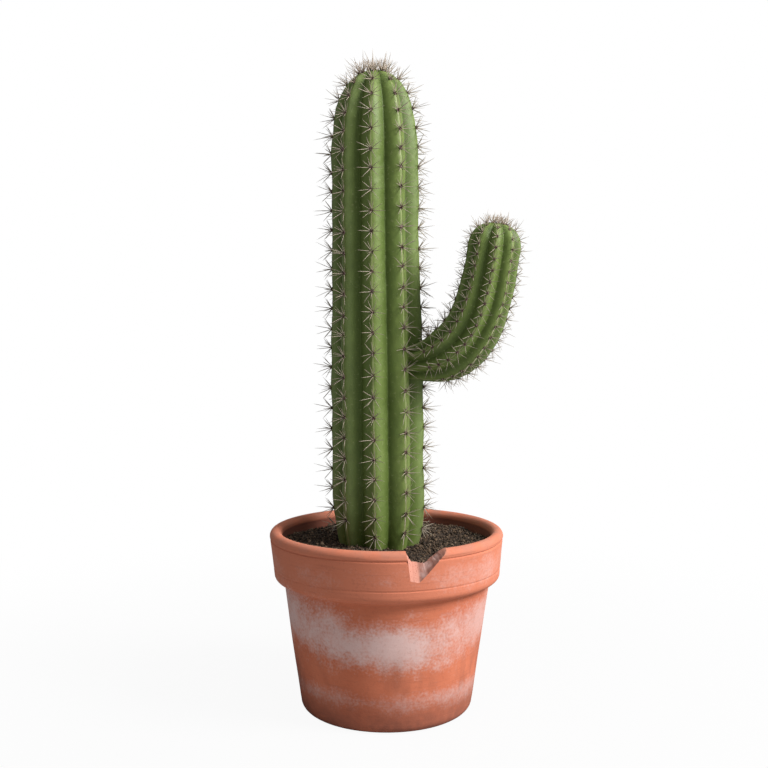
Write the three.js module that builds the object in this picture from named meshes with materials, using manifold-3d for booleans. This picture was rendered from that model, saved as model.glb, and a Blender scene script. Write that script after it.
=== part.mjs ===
// A columnar cactus with one upturned side arm, rooted in soil in a terracotta pot.
// Millimetres, +Z up. The origin is the centre of the pot's foot, on the surface it stands on, and -Y is
// the front. An azimuth is measured from the front towards +X.

import * as THREE from "three";
import { ConvexGeometry } from "three/addons/geometries/ConvexGeometry.js";
import { mergeVertices } from "three/addons/utils/BufferGeometryUtils.js";
import Module from "manifold-3d";

const wasm = await Module();
wasm.setup();

// ---- Fits ----
const CLEARANCE = 0.3; // between pieces that touch
const WELD = 1e-4; // vertices nearer than this are one

// ---- Pot ----
const POT_HEIGHT = 122;
const RIM_RADIUS = 79.1;
const FOOT_RADIUS = 58.3;
const WALL = 8;
const FLOOR_THICKNESS = 9;
const COLLAR_HEIGHT = 34; // the thick band under the rim
const COLLAR_STEP = 6.6; // how far the collar stands out from the body below it
const COLLAR_TAPER = 2.4; // how much narrower the collar is at its lower edge than at the rim
const COLLAR_ROUND = 5;
const FOOT_ROUND = 6;
const GROOVE_DEPTH = 0.6;
const GROOVE_WIDTH = 1.8;
const UPPER_GROOVE_DROP = 6; // below the rim, to the middle of a throwing line
const LOWER_GROOVE_DROP = 25;
const POT_SEGMENTS = 52;

// ---- Drainage holes in the floor ----
const DRAIN_HOLES = 3;
const DRAIN_RADIUS = 6;
const DRAIN_CIRCLE_RADIUS = 25;
const DRAIN_SEGMENTS = 12;

// ---- The chip broken out of the rim ----
const CHIP_AZIMUTH = THREE.MathUtils.degToRad(16);
const CHIP_LEFT = -9.7; // from the chip's azimuth, along the rim
const CHIP_RIGHT = 15.3;
const CHIP_FLOOR_LEFT = -7.1;
const CHIP_FLOOR_RIGHT = -1.1;
const CHIP_INNER_LEFT = -8.3;
const CHIP_INNER_RIGHT = 14;
const CHIP_INNER_FLOOR_LEFT = -4.7;
const CHIP_INNER_FLOOR_RIGHT = 4.1;
const CHIP_DEPTH = 19; // down the outer face
const CHIP_INNER_DEPTH = 8.2;
const CHIP_OVERRUN = 6; // how far the broken faces are carried past the clay

// ---- Potting soil ----
const SOIL_DROP = 10; // from the rim down to the soil
const SOIL_RELIEF = 0.9;
const SOIL_SEGMENTS = 54;
const SOIL_RINGS = 5;

// ---- Ribs, the same on both limbs ----
const RIBS = 9;
const RIB_ANGLE = (2 * Math.PI) / RIBS;
const RIB_DEPTH = 0.195; // of the crest radius
const CREST_ROUND = 0.22; // of the half rib, over which a crest rounds into its straight flanks
const STEPS_PER_RIB = 6;
const DOME_POWER = 2.4;
const DOME_STEPS = 6;

// ---- Main stem ----
const STEM_OFFSET = -4.8; // from the pot's axis, along X
const STEM_HEIGHT = 316; // above the soil
const STEM_BURIED = 26.5;
const STEM_RADIUS = 29.3; // to the crests, in the upper half
const STEM_SWELL = 2.1; // what the lower half adds to it
const SWELL_START = 0.3; // of the height
const SWELL_END = 0.72;
const STEM_LEAN = -3;
const STEM_FOOT_LENGTH = 64;
const STEM_CROWN_LENGTH = 62;
const STEM_CREST_AZIMUTH = THREE.MathUtils.degToRad(-5);
const STEM_RING_STEP = 22; // between the rings of its straight stretch

// ---- Side arm ----
const ARM_AZIMUTH = THREE.MathUtils.degToRad(70);
const ARM_HEIGHT = 122.8; // of its root, above the soil
const ARM_ROOT_DEPTH = 10; // inside the stem's crests, before it is cut to the stem
const ARM_REACH = 61;
const ARM_RISE = 90.8;
const ARM_RADIUS = 19; // to the crests, at its root's end
const ARM_TIP_RADIUS = 16.6;
const ARM_NECK = 0.64; // of the arm's radius, where it leaves the stem
const ARM_NECK_LENGTH = 34;
const ARM_CROWN_LENGTH = 18;
const ARM_BEND = [
  [0, 0],
  [0.79, 0.007],
  [0.89, 0.412],
  [1, 1],
]; // the bend's control points, as shares of the reach and of the rise
const ARM_CREST_ANGLE = THREE.MathUtils.degToRad(19);
const ARM_RING_STEP = 8;

// ---- Spines ----
const STEM_AREOLE_PITCH = 13.2;
const ARM_AREOLE_PITCH = 7.3;
const STEM_SPINES_START = 12; // along the crest, above the soil
const ARM_SPINES_START = 20; // along the crest, past the stem
const ROW_STAGGER = 0.2; // of the pitch, between the rows of neighbouring ribs
const CROWN_BARE_RADIUS = 9; // of the limb, where the rows of spines end
const SEAM_WIDTH = 2; // of the corky seam that joins the areoles of a rib
const SEAM_HEIGHT = 1.1;
const AREOLE_LENGTH = 2.6;
const RADIAL_SPREAD = 0.27; // sideways, of the distance between crests
const RADIAL_DROP = 0.34; // down the rib, of the pitch
const RADIAL_LIFT = 2.8; // of a radial spine's tip, off the crest
const CENTRAL_SPREAD = 0.1;
const CENTRAL_CLIMB = 0.2;
const CENTRAL_LENGTH = 8.4;
const LEAST_STEP = 0.5; // between a seam's sections

const COLLAR_BASE = POT_HEIGHT - COLLAR_HEIGHT;
const COLLAR_RADIUS = RIM_RADIUS - COLLAR_TAPER;
const BODY_TOP_RADIUS = COLLAR_RADIUS - COLLAR_STEP;
const SOIL_LEVEL = POT_HEIGHT - SOIL_DROP;

const terracotta = new THREE.MeshStandardMaterial({ color: 0xb8693f, roughness: 0.85 });
const soilMix = new THREE.MeshStandardMaterial({ color: 0x3d2c20, roughness: 1 });
const cactusSkin = new THREE.MeshStandardMaterial({ color: 0x5f7a3a, roughness: 0.55 });
const spineWood = new THREE.MeshStandardMaterial({ color: 0x9c8674, roughness: 0.7 });

/** A closed geometry as a solid that can be joined and cut. */
function solidOf(geometry) {
  const bare = geometry.clone();
  bare.deleteAttribute("normal");
  bare.deleteAttribute("uv");
  const merged = mergeVertices(bare, WELD);
  const vertProperties = merged.getAttribute("position").array;
  const triVerts = new Uint32Array(merged.index.array);
  return new wasm.Manifold(new wasm.Mesh({ numProp: 3, vertProperties, triVerts }));
}

/** A solid as a geometry with normals. */
function geometryOf(solid) {
  const { vertProperties, triVerts } = solid.getMesh();
  const geometry = new THREE.BufferGeometry();
  geometry.setAttribute("position", new THREE.BufferAttribute(vertProperties, 3));
  geometry.setIndex(new THREE.BufferAttribute(triVerts, 1));
  geometry.computeVertexNormals();
  return geometry;
}

/** A mesh with its node's name. */
function piece(name, geometry, material) {
  const mesh = new THREE.Mesh(geometry, material);
  mesh.name = name;
  return mesh;
}

/** A geometry from points and the triangles between them. */
function geometryFrom(points, triangles) {
  const geometry = new THREE.BufferGeometry().setFromPoints(points);
  geometry.setIndex(triangles);
  return geometry;
}

/** Closed surface through rings of equally many points, each end closed by a fan to its own point. */
function loft(rings, startPoint, endPoint) {
  const count = rings[0].length;
  const points = [...rings.flat(), startPoint, endPoint];
  const start = points.length - 2;
  const end = points.length - 1;
  const last = (rings.length - 1) * count;
  const triangles = [];
  for (let side = 0; side < count; side += 1) {
    const next = (side + 1) % count;
    for (let row = 0; row < last; row += count) {
      triangles.push(row + side, row + next, row + count + next);
      triangles.push(row + side, row + count + next, row + count + side);
    }
    triangles.push(start, next, side);
    triangles.push(end, last + side, last + next);
  }
  return geometryFrom(points, triangles);
}

/** Points of an elliptical corner, from one angle to another. */
function corner(centreR, centreZ, radiusR, radiusZ, from, to, steps) {
  return Array.from({ length: steps + 1 }, (_, i) => {
    const angle = from + ((to - from) * i) / steps;
    return new THREE.Vector2(centreR + radiusR * Math.cos(angle), centreZ + radiusZ * Math.sin(angle));
  });
}

/** Radius of the collar's outer face at a height: a straight taper up to the rim. */
function collarRadius(z) {
  return COLLAR_RADIUS + (COLLAR_TAPER * (z - COLLAR_BASE)) / (COLLAR_HEIGHT - WALL / 2);
}

/** A throwing line: three points of a shallow groove in the collar. */
function groove(drop) {
  const z = POT_HEIGHT - drop;
  const half = GROOVE_WIDTH / 2;
  return [
    new THREE.Vector2(collarRadius(z - half), z - half),
    new THREE.Vector2(collarRadius(z) - GROOVE_DEPTH, z),
    new THREE.Vector2(collarRadius(z + half), z + half),
  ];
}

/** The pot's outer outline, from the foot's centre up to the top of the rounded rim. */
function outerOutline() {
  const footCentre = FOOT_RADIUS - FOOT_ROUND;
  return [
    new THREE.Vector2(0, 0),
    ...corner(footCentre, FOOT_ROUND, FOOT_ROUND, FOOT_ROUND, -Math.PI / 2, 0, 3),
    new THREE.Vector2(BODY_TOP_RADIUS, COLLAR_BASE),
    ...corner(BODY_TOP_RADIUS, COLLAR_BASE + COLLAR_ROUND, COLLAR_STEP, COLLAR_ROUND, -1.2, 0, 3),
    ...groove(LOWER_GROOVE_DROP),
    ...groove(UPPER_GROOVE_DROP),
    ...corner(RIM_RADIUS - WALL / 2, POT_HEIGHT - WALL / 2, WALL / 2, WALL / 2, 0, Math.PI / 2, 3),
  ];
}

/** The hollow's outline, from the rim down to the floor's centre, drawn in by an inset. */
function innerOutline(inset) {
  const rimInside = RIM_RADIUS - WALL;
  return [
    new THREE.Vector2(rimInside - inset, POT_HEIGHT - WALL / 2),
    new THREE.Vector2(COLLAR_RADIUS - WALL - inset, COLLAR_BASE + COLLAR_ROUND),
    new THREE.Vector2(BODY_TOP_RADIUS - WALL - inset, COLLAR_BASE - COLLAR_ROUND),
    new THREE.Vector2(FOOT_RADIUS - WALL - inset, FLOOR_THICKNESS + inset),
    new THREE.Vector2(0, FLOOR_THICKNESS + inset),
  ];
}

/** A drainage hole's cutter, running past both faces of the floor. */
function drainCutter(index) {
  const height = 3 * FLOOR_THICKNESS;
  const bore = new THREE.CylinderGeometry(DRAIN_RADIUS, DRAIN_RADIUS, height, DRAIN_SEGMENTS);
  bore.rotateX(Math.PI / 2);
  bore.translate(0, -DRAIN_CIRCLE_RADIUS, 0);
  bore.rotateZ((2 * Math.PI * index) / DRAIN_HOLES);
  return solidOf(bore);
}

/** The point beyond `from` on the line through `to` and `from`, at a share of their distance. */
function carriedPast(to, from, share) {
  return new THREE.Vector3().lerpVectors(to, from, 1 + share);
}

/** The chip's cutter: four corners on the outer face, four on the inner, carried past the wall. */
function chipCutter() {
  const top = POT_HEIGHT + CHIP_OVERRUN;
  const shelf = POT_HEIGHT - CHIP_DEPTH;
  const innerShelf = POT_HEIGHT - CHIP_INNER_DEPTH;
  const rightSlope = (CHIP_RIGHT - CHIP_FLOOR_RIGHT) / CHIP_DEPTH;
  const innerSlope = (CHIP_INNER_RIGHT - CHIP_INNER_FLOOR_RIGHT) / CHIP_INNER_DEPTH;
  const outer = [
    new THREE.Vector3(CHIP_LEFT, -RIM_RADIUS, top),
    new THREE.Vector3(CHIP_FLOOR_LEFT, -RIM_RADIUS, shelf),
    new THREE.Vector3(CHIP_FLOOR_RIGHT, -RIM_RADIUS, shelf),
    new THREE.Vector3(CHIP_RIGHT + CHIP_OVERRUN * rightSlope, -RIM_RADIUS, top),
  ];
  const inside = WALL - RIM_RADIUS;
  const inner = [
    new THREE.Vector3(CHIP_INNER_LEFT, inside, top),
    new THREE.Vector3(CHIP_INNER_FLOOR_LEFT, inside, innerShelf),
    new THREE.Vector3(CHIP_INNER_FLOOR_RIGHT, inside, innerShelf),
    new THREE.Vector3(CHIP_INNER_RIGHT + CHIP_OVERRUN * innerSlope, inside, top),
  ];
  const share = CHIP_OVERRUN / WALL;
  const corners = outer.flatMap((point, i) => [
    carriedPast(inner[i], point, share),
    carriedPast(point, inner[i], share),
  ]);
  const cutter = new ConvexGeometry(corners);
  cutter.rotateZ(CHIP_AZIMUTH);
  return solidOf(cutter);
}

/** The thrown clay pot, with its collar, its holes and the chip out of its rim. */
function potGeometry() {
  const outline = [...outerOutline(), ...innerOutline(0)];
  const thrown = new THREE.LatheGeometry(outline, POT_SEGMENTS).rotateX(Math.PI / 2);
  let clay = solidOf(thrown);
  for (let i = 0; i < DRAIN_HOLES; i += 1) clay = clay.subtract(drainCutter(i));
  return geometryOf(clay.subtract(chipCutter()));
}

/** Height of the soil at a point: low mounds on a level bed. */
function soilHeight(x, y) {
  const along = Math.sin(x / 11 + 0.6) * Math.cos(y / 13 - 0.4);
  const across = 0.6 * Math.sin((x - y) / 7.3);
  return SOIL_LEVEL + SOIL_RELIEF * (along + across);
}

/** A ring of soil points at a radius, each at the height that a rule gives. */
function soilRing(radius, heightAt) {
  return Array.from({ length: SOIL_SEGMENTS }, (_, i) => {
    const angle = (2 * Math.PI * i) / SOIL_SEGMENTS;
    const x = radius * Math.cos(angle);
    const y = radius * Math.sin(angle);
    return new THREE.Vector3(x, y, heightAt(x, y));
  });
}

/** The hollow's radius at a height, drawn in by the clearance. */
function hollowRadius(z) {
  const outline = innerOutline(CLEARANCE);
  const upper = outline.findIndex((point) => point.y <= z) - 1;
  const [a, b] = [outline[upper], outline[upper + 1]];
  return b.x + ((a.x - b.x) * (z - b.y)) / (a.y - b.y);
}

/** The bed of soil that fills the pot, with a socket for the stem. */
function soilGeometry(stemSocket) {
  const walls = innerOutline(CLEARANCE).slice(1, -1).reverse();
  const below = walls.map((point) => soilRing(point.x, () => point.y));
  const edge = hollowRadius(SOIL_LEVEL - 2 * SOIL_RELIEF);
  const top = Array.from({ length: SOIL_RINGS }, (_, i) =>
    soilRing((edge * (SOIL_RINGS - i)) / SOIL_RINGS, soilHeight),
  );
  const middle = new THREE.Vector3(0, 0, soilHeight(0, 0));
  const bottom = new THREE.Vector3(0, 0, FLOOR_THICKNESS + CLEARANCE);
  const bed = solidOf(loft([...below, ...top], bottom, middle));
  return geometryOf(bed.subtract(stemSocket));
}

/** Smooth step from 0 to 1 as x goes from one edge to the other. */
function smooth(x, from, to) {
  return THREE.MathUtils.smoothstep(x, from, to);
}

/** Share of the full radius on a rounded end, from 1 at its start to 0 at its tip. */
function domeShare(t) {
  const clamped = THREE.MathUtils.clamp(t, 0, 1);
  return (1 - clamped ** DOME_POWER) ** (1 / DOME_POWER);
}

/** Share of the crest radius at an angle: a rounded crest, then straight flanks down to sharp valleys. */
function ribShare(angle, crestAngle) {
  const ribs = (angle - crestAngle) / RIB_ANGLE;
  const across = 2 * Math.abs(ribs - Math.round(ribs));
  const fall = Math.hypot(across, CREST_ROUND) - CREST_ROUND;
  const fullFall = Math.hypot(1, CREST_ROUND) - CREST_ROUND;
  return 1 - (RIB_DEPTH * fall) / fullFall;
}

/** The main stem as a limb: its axis, its radius along it, and where its ribs start. */
function mainLimb() {
  const bottom = -STEM_BURIED;
  const third = (STEM_HEIGHT + STEM_BURIED) / 3;
  const curve = new THREE.CubicBezierCurve3(
    new THREE.Vector3(0, 0, bottom),
    new THREE.Vector3(0, 0, bottom + third),
    new THREE.Vector3(STEM_LEAN, 0, STEM_HEIGHT - third),
    new THREE.Vector3(STEM_LEAN, 0, STEM_HEIGHT),
  );
  const length = curve.getLength();
  const radiusAt = (distance) => {
    const height = (distance - STEM_BURIED) / STEM_HEIGHT;
    const crest = STEM_RADIUS + STEM_SWELL * (1 - smooth(height, SWELL_START, SWELL_END));
    const foot = domeShare((STEM_FOOT_LENGTH - distance) / STEM_FOOT_LENGTH);
    const crown = domeShare((distance - length + STEM_CROWN_LENGTH) / STEM_CROWN_LENGTH);
    return crest * foot * crown;
  };
  return {
    curve,
    length,
    radiusAt,
    lead: new THREE.Vector3(0, -1, 0),
    crestAngle: STEM_CREST_AZIMUTH,
    footLength: STEM_FOOT_LENGTH,
    crownLength: STEM_CROWN_LENGTH,
    ringStep: STEM_RING_STEP,
  };
}

/** The side arm as a limb: it leaves the stem nearly level, bends and rises. */
function armLimb(stem) {
  const outward = new THREE.Vector3(Math.sin(ARM_AZIMUTH), -Math.cos(ARM_AZIMUTH), 0);
  const up = new THREE.Vector3(0, 0, 1);
  const rootDistance = ARM_HEIGHT + STEM_BURIED;
  const root = stem.curve.getPointAt(rootDistance / stem.length);
  root.addScaledVector(outward, stem.radiusAt(rootDistance) - ARM_ROOT_DEPTH);
  const bend = ARM_BEND.map(([reach, rise]) =>
    root
      .clone()
      .addScaledVector(outward, reach * ARM_REACH)
      .addScaledVector(up, rise * ARM_RISE),
  );
  const curve = new THREE.CubicBezierCurve3(...bend);
  const length = curve.getLength();
  const radiusAt = (distance) => {
    const neck = ARM_NECK + (1 - ARM_NECK) * smooth(distance, 0, ARM_NECK_LENGTH);
    const crest = THREE.MathUtils.lerp(ARM_RADIUS, ARM_TIP_RADIUS, distance / length);
    return crest * neck * domeShare((distance - length + ARM_CROWN_LENGTH) / ARM_CROWN_LENGTH);
  };
  return {
    curve,
    length,
    radiusAt,
    lead: outward.clone().cross(up),
    crestAngle: ARM_CREST_ANGLE,
    footLength: 0,
    crownLength: ARM_CROWN_LENGTH,
    ringStep: ARM_RING_STEP,
  };
}

/** Unit direction square to a limb's axis, at an angle from its lead. */
function sideways(limb, distance, angle) {
  const tangent = limb.curve.getTangentAt(distance / limb.length);
  const side = tangent.cross(limb.lead).normalize();
  return side.multiplyScalar(Math.sin(angle)).addScaledVector(limb.lead, Math.cos(angle));
}

/** Point on a limb's skin, grown outwards by a margin. */
function skinPoint(limb, distance, angle, margin) {
  const radius = limb.radiusAt(distance) * ribShare(angle, limb.crestAngle) + margin;
  const centre = limb.curve.getPointAt(distance / limb.length);
  return centre.addScaledVector(sideways(limb, distance, angle), radius);
}

/** Distances along a limb for its rings: closer together on its rounded ends. */
function ringDistances(limb) {
  const quarter = (i) => Math.sin(((i / DOME_STEPS) * Math.PI) / 2);
  const foot = limb.footLength
    ? Array.from({ length: DOME_STEPS - 1 }, (_, i) => limb.footLength * (1 - quarter(DOME_STEPS - 1 - i)))
    : [];
  const crownStart = limb.length - limb.crownLength;
  const steps = Math.ceil((crownStart - limb.footLength) / limb.ringStep);
  const shaft = Array.from(
    { length: steps },
    (_, i) => limb.footLength + ((crownStart - limb.footLength) * i) / steps,
  );
  const crown = Array.from({ length: DOME_STEPS }, (_, i) => crownStart + limb.crownLength * quarter(i));
  return [...foot, ...shaft, ...crown];
}

/** A limb's ribbed body as a solid, grown outwards by a margin. */
function limbSolid(limb, margin) {
  const sides = RIBS * STEPS_PER_RIB;
  const angles = Array.from({ length: sides }, (_, i) => limb.crestAngle + (2 * Math.PI * i) / sides);
  const rings = ringDistances(limb).map((distance) =>
    angles.map((angle) => skinPoint(limb, distance, angle, margin)),
  );
  const startTangent = limb.curve.getTangentAt(0);
  const endTangent = limb.curve.getTangentAt(1);
  const start = limb.curve.getPointAt(0).addScaledVector(startTangent, -margin);
  const end = limb.curve.getPointAt(1).addScaledVector(endTangent, margin);
  return solidOf(loft(rings, start, end));
}

/** The line along one crest, through the limb's own rings: each point with its run and its direction. */
function crestLine(limb, angle) {
  let run = 0;
  return ringDistances(limb).map((distance, i, all) => {
    const point = skinPoint(limb, distance, angle, 0);
    const before = skinPoint(limb, all[Math.max(i - 1, 0)], angle, 0);
    const after = skinPoint(limb, all[Math.min(i + 1, all.length - 1)], angle, 0);
    run += point.distanceTo(before);
    return {
      distance,
      run,
      point,
      along: after.sub(before).normalize(),
      side: sideways(limb, distance, angle),
      radius: limb.radiusAt(distance),
    };
  });
}

/** Place on a crest line at a run: the point, the axes along, outwards and across, and the radius. */
function crestPlace(line, run) {
  const upper = THREE.MathUtils.clamp(
    line.findIndex((ring) => ring.run >= run),
    1,
    line.length - 1,
  );
  const [a, b] = [line[upper - 1], line[upper]];
  const share = (run - a.run) / (b.run - a.run);
  const onRing = [a, b].find((ring) => ring.run === run);
  const along = onRing ? onRing.along.clone() : b.point.clone().sub(a.point).normalize();
  const out = a.side.clone().lerp(b.side, share);
  out.addScaledVector(along, -out.dot(along)).normalize();
  return {
    point: a.point.clone().lerp(b.point, share),
    along,
    out,
    across: out.clone().cross(along),
    radius: THREE.MathUtils.lerp(a.radius, b.radius, share),
  };
}

/** Point near a place on the crest: so far across, along the rib and off the skin. */
function offset(place, across, along, out) {
  return place.point
    .clone()
    .addScaledVector(place.across, across)
    .addScaledVector(place.along, along)
    .addScaledVector(place.out, out);
}

/** The seam's three-sided section at a place: its low edges just clear of the skin, and its ridge. */
function seamSection(place, grown) {
  return [
    offset(place, -SEAM_WIDTH / 2 - grown, 0, CLEARANCE - grown),
    offset(place, 0, 0, CLEARANCE + SEAM_HEIGHT + grown),
    offset(place, SEAM_WIDTH / 2 + grown, 0, CLEARANCE - grown),
  ];
}

/** The tips of an areole's spines: on each side a radial one leaning down and a central one standing up. */
function spineTips(place, pitch, grown) {
  const crestGap = 2 * place.radius * Math.sin(RIB_ANGLE / 2);
  const radial = new THREE.Vector3(RADIAL_SPREAD * crestGap, -RADIAL_DROP * pitch, RADIAL_LIFT);
  const central = new THREE.Vector3(CENTRAL_SPREAD * crestGap, CENTRAL_CLIMB * pitch, CENTRAL_LENGTH);
  const reach = [radial, central].map((tip) => tip.setLength(tip.length() + grown));
  return [-1, 1].flatMap((side) => reach.map((tip) => offset(place, side * tip.x, tip.y, tip.z)));
}

/** Runs of the areoles on a crest line, from the first to the crown. */
function areoleRuns(firstRun, lastRun, pitch) {
  const count = Math.floor((lastRun - firstRun) / pitch) + 1;
  return Array.from({ length: count }, (_, i) => firstRun + i * pitch);
}

/** Triangles that join two three-sided sections, given the index of each one's first point. */
function joinSections(low, high) {
  return [0, 1, 2].flatMap((side) => {
    const next = (side + 1) % 3;
    return [low + side, high + side, low + next, high + side, high + next, low + next];
  });
}

/** Triangles of an areole: its section's two upper faces, each raised into two spines, and its underside. */
function raisedSection(low, high, firstTip) {
  const triangles = [low + 2, high + 2, high, low + 2, high, low];
  const raise = (a, b, c, tip) => triangles.push(a, b, tip, b, c, tip, c, a, tip);
  for (const side of [0, 1]) {
    const [radial, central] = [firstTip + 2 * side, firstTip + 2 * side + 1];
    if (side === 0) {
      raise(low, high, low + 1, radial);
      raise(high, high + 1, low + 1, central);
    } else {
      raise(low + 1, high + 2, low + 2, radial);
      raise(low + 1, high + 1, high + 2, central);
    }
  }
  return triangles;
}

/** One rib's row of spines, grown by so much: a corky seam on the crest, with four spines on each areole. */
function spineRowSolid(line, runs, pitch, grown) {
  const points = [];
  const triangles = [];
  let seamEnd = null;
  const half = AREOLE_LENGTH / 2 + grown;
  const addSection = (run) => points.push(...seamSection(crestPlace(line, run), grown)) - 3;
  const joinOn = (run) => {
    const section = addSection(run);
    if (seamEnd !== null) triangles.push(...joinSections(seamEnd, section));
    seamEnd = section;
  };
  runs.forEach((run, i) => {
    const [start, end] = [run - half, run + half];
    const from = i > 0 ? runs[i - 1] + half : start;
    const between = (ring) => ring.run > from + LEAST_STEP && ring.run < start - LEAST_STEP;
    line.filter(between).forEach((ring) => joinOn(ring.run));
    joinOn(start);
    const high = addSection(end);
    const firstTip = points.push(...spineTips(crestPlace(line, run), pitch, grown)) - 4;
    triangles.push(...raisedSection(seamEnd, high, firstTip));
    seamEnd = high;
  });
  triangles.push(0, 1, 2, seamEnd, seamEnd + 2, seamEnd + 1);
  return solidOf(geometryFrom(points, triangles));
}

/** Run along a crest line where the limb's axis has run a distance. */
function runAt(line, distance) {
  const upper = line.findIndex((ring) => ring.distance >= distance);
  const [a, b] = [line[upper - 1], line[upper]];
  return THREE.MathUtils.mapLinear(distance, a.distance, b.distance, a.run, b.run);
}

/** Run along a crest line where the spines end, short of the crown's middle. */
function crownRun(line) {
  return line.findLast((ring) => ring.radius >= CROWN_BARE_RADIUS).run - AREOLE_LENGTH / 2;
}

/** Every row on the main stem, with its crest line and runs. The arm's rib has one below it and one above. */
function stemRows(stem) {
  const armRib = Math.round((ARM_AZIMUTH - STEM_CREST_AZIMUTH) / RIB_ANGLE);
  return Array.from({ length: RIBS }, (_, rib) => {
    const line = crestLine(stem, stem.crestAngle + rib * RIB_ANGLE);
    const stagger = (rib % 2) * ROW_STAGGER * STEM_AREOLE_PITCH;
    const first = runAt(line, STEM_BURIED) + STEM_SPINES_START + stagger;
    const runs = areoleRuns(first, crownRun(line), STEM_AREOLE_PITCH);
    const name = `spine_row_stem_${rib + 1}`;
    if (rib !== armRib) return [{ name, line, runs }];
    const armRun = runAt(line, ARM_HEIGHT + STEM_BURIED);
    const reach = ARM_RADIUS + STEM_AREOLE_PITCH / 2;
    return [
      { name: `${name}_below_arm`, line, runs: runs.filter((run) => run < armRun - reach) },
      { name: `${name}_above_arm`, line, runs: runs.filter((run) => run > armRun + reach) },
    ];
  }).flat();
}

/** A stem row's solid, grown by so much. */
function stemRowSolid({ line, runs }, grown) {
  return spineRowSolid(line, runs, STEM_AREOLE_PITCH, grown);
}

/** Every row of spines on the side arm. */
function armSpineRows(arm) {
  return Array.from({ length: RIBS }, (_, rib) => {
    const line = crestLine(arm, arm.crestAngle + rib * RIB_ANGLE);
    const stagger = (rib % 2) * ROW_STAGGER * ARM_AREOLE_PITCH;
    const first = runAt(line, ARM_ROOT_DEPTH) + ARM_SPINES_START + stagger;
    const runs = areoleRuns(first, crownRun(line), ARM_AREOLE_PITCH);
    const row = spineRowSolid(line, runs, ARM_AREOLE_PITCH, 0);
    return piece(`spine_row_arm_${rib + 1}`, geometryOf(row), spineWood);
  });
}

/** The side arm's solid, cut back to clear the stem and every spine on it. */
function armSolid(stem, arm, rows) {
  const inTheWay = [limbSolid(stem, CLEARANCE), ...rows.map((row) => stemRowSolid(row, CLEARANCE))];
  return inTheWay.reduce((solid, other) => solid.subtract(other), limbSolid(arm, 0));
}

/** The whole plant, in its own frame: the origin is the stem's axis at the soil's level. */
function plant() {
  const group = new THREE.Group();
  const stem = mainLimb();
  const arm = armLimb(stem);
  const rows = stemRows(stem);
  group.add(piece("main_stem", geometryOf(limbSolid(stem, 0)), cactusSkin));
  group.add(piece("side_arm", geometryOf(armSolid(stem, arm, rows)), cactusSkin));
  group.add(...rows.map((row) => piece(row.name, geometryOf(stemRowSolid(row, 0)), spineWood)));
  group.add(...armSpineRows(arm));
  group.position.set(STEM_OFFSET, 0, SOIL_LEVEL);
  return group;
}

/** The main stem's solid, grown by the clearance, where it stands in the pot. */
function stemSocket() {
  return limbSolid(mainLimb(), CLEARANCE).translate([STEM_OFFSET, 0, SOIL_LEVEL]);
}

const pottedCactus = new THREE.Group();
pottedCactus.add(piece("pot", potGeometry(), terracotta));
pottedCactus.add(piece("potting_soil", soilGeometry(stemSocket()), soilMix));
pottedCactus.add(plant());

export default pottedCactus;
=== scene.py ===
"""A columnar cactus with one upturned side arm, rooted in soil in a chipped terracotta pot.

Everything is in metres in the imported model's frame: the origin is the centre of the pot's foot, +Z is up and
-Y is the front. An azimuth is measured from the front towards +X, in radians unless a name says degrees.
"""

import logging
import math
from dataclasses import dataclass, field
from enum import Enum

import bpy
import numpy as np
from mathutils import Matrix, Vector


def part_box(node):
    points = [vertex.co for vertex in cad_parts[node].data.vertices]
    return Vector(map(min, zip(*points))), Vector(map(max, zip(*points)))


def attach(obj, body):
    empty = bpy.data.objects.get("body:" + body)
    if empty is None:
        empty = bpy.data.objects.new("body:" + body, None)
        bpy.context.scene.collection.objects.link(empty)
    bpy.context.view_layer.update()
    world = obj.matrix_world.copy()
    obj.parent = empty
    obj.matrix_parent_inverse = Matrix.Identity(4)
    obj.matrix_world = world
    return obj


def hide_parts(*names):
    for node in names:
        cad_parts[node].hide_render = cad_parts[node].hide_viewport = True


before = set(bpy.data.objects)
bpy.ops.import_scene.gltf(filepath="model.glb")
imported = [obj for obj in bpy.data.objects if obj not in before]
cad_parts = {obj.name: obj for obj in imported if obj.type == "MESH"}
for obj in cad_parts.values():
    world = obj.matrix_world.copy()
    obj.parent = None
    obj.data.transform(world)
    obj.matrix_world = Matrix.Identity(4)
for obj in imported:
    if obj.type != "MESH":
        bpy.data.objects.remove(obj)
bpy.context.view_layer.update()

LOG = logging.getLogger("potted_cactus")
MM = 0.001
TAU = 2 * math.pi

Array = np.ndarray
Colour = tuple[float, float, float]


# ---------------------------------------------------------------- surfaces


def unit(vectors: Array) -> Array:
    """Vectors along the last axis, each divided by its own length."""
    return vectors / np.linalg.norm(vectors, axis=-1, keepdims=True)


def smooth(x: Array, start: float, end: float) -> Array:
    """Smooth step: 0 at start, 1 at end, and 3t^2 - 2t^3 between them."""
    t = np.clip((x - start) / (end - start), 0.0, 1.0)
    return t * t * (3.0 - 2.0 * t)


def ripple(points: Array, scale: float, seed: int, waves: int = 22) -> Array:
    """Smooth noise: the sum of plane waves of random direction, length and phase.

    Args:
        points: Places, with x, y and z along the last axis.
        scale: The waves' middle length.
        seed: Seed of the directions and phases.
        waves: How many waves are summed.

    Returns:
        One value for each place, mostly between -1 and 1.
    """
    rng = np.random.default_rng(seed)
    wavevectors = unit(rng.normal(size=(waves, 3))) * rng.uniform(0.6, 1.7, size=(waves, 1))
    phases = rng.uniform(0.0, TAU, size=waves)
    angles = points @ (wavevectors.T * (TAU / scale)) + phases
    return np.sin(angles).sum(axis=-1) * math.sqrt(1.0 / waves)


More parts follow.
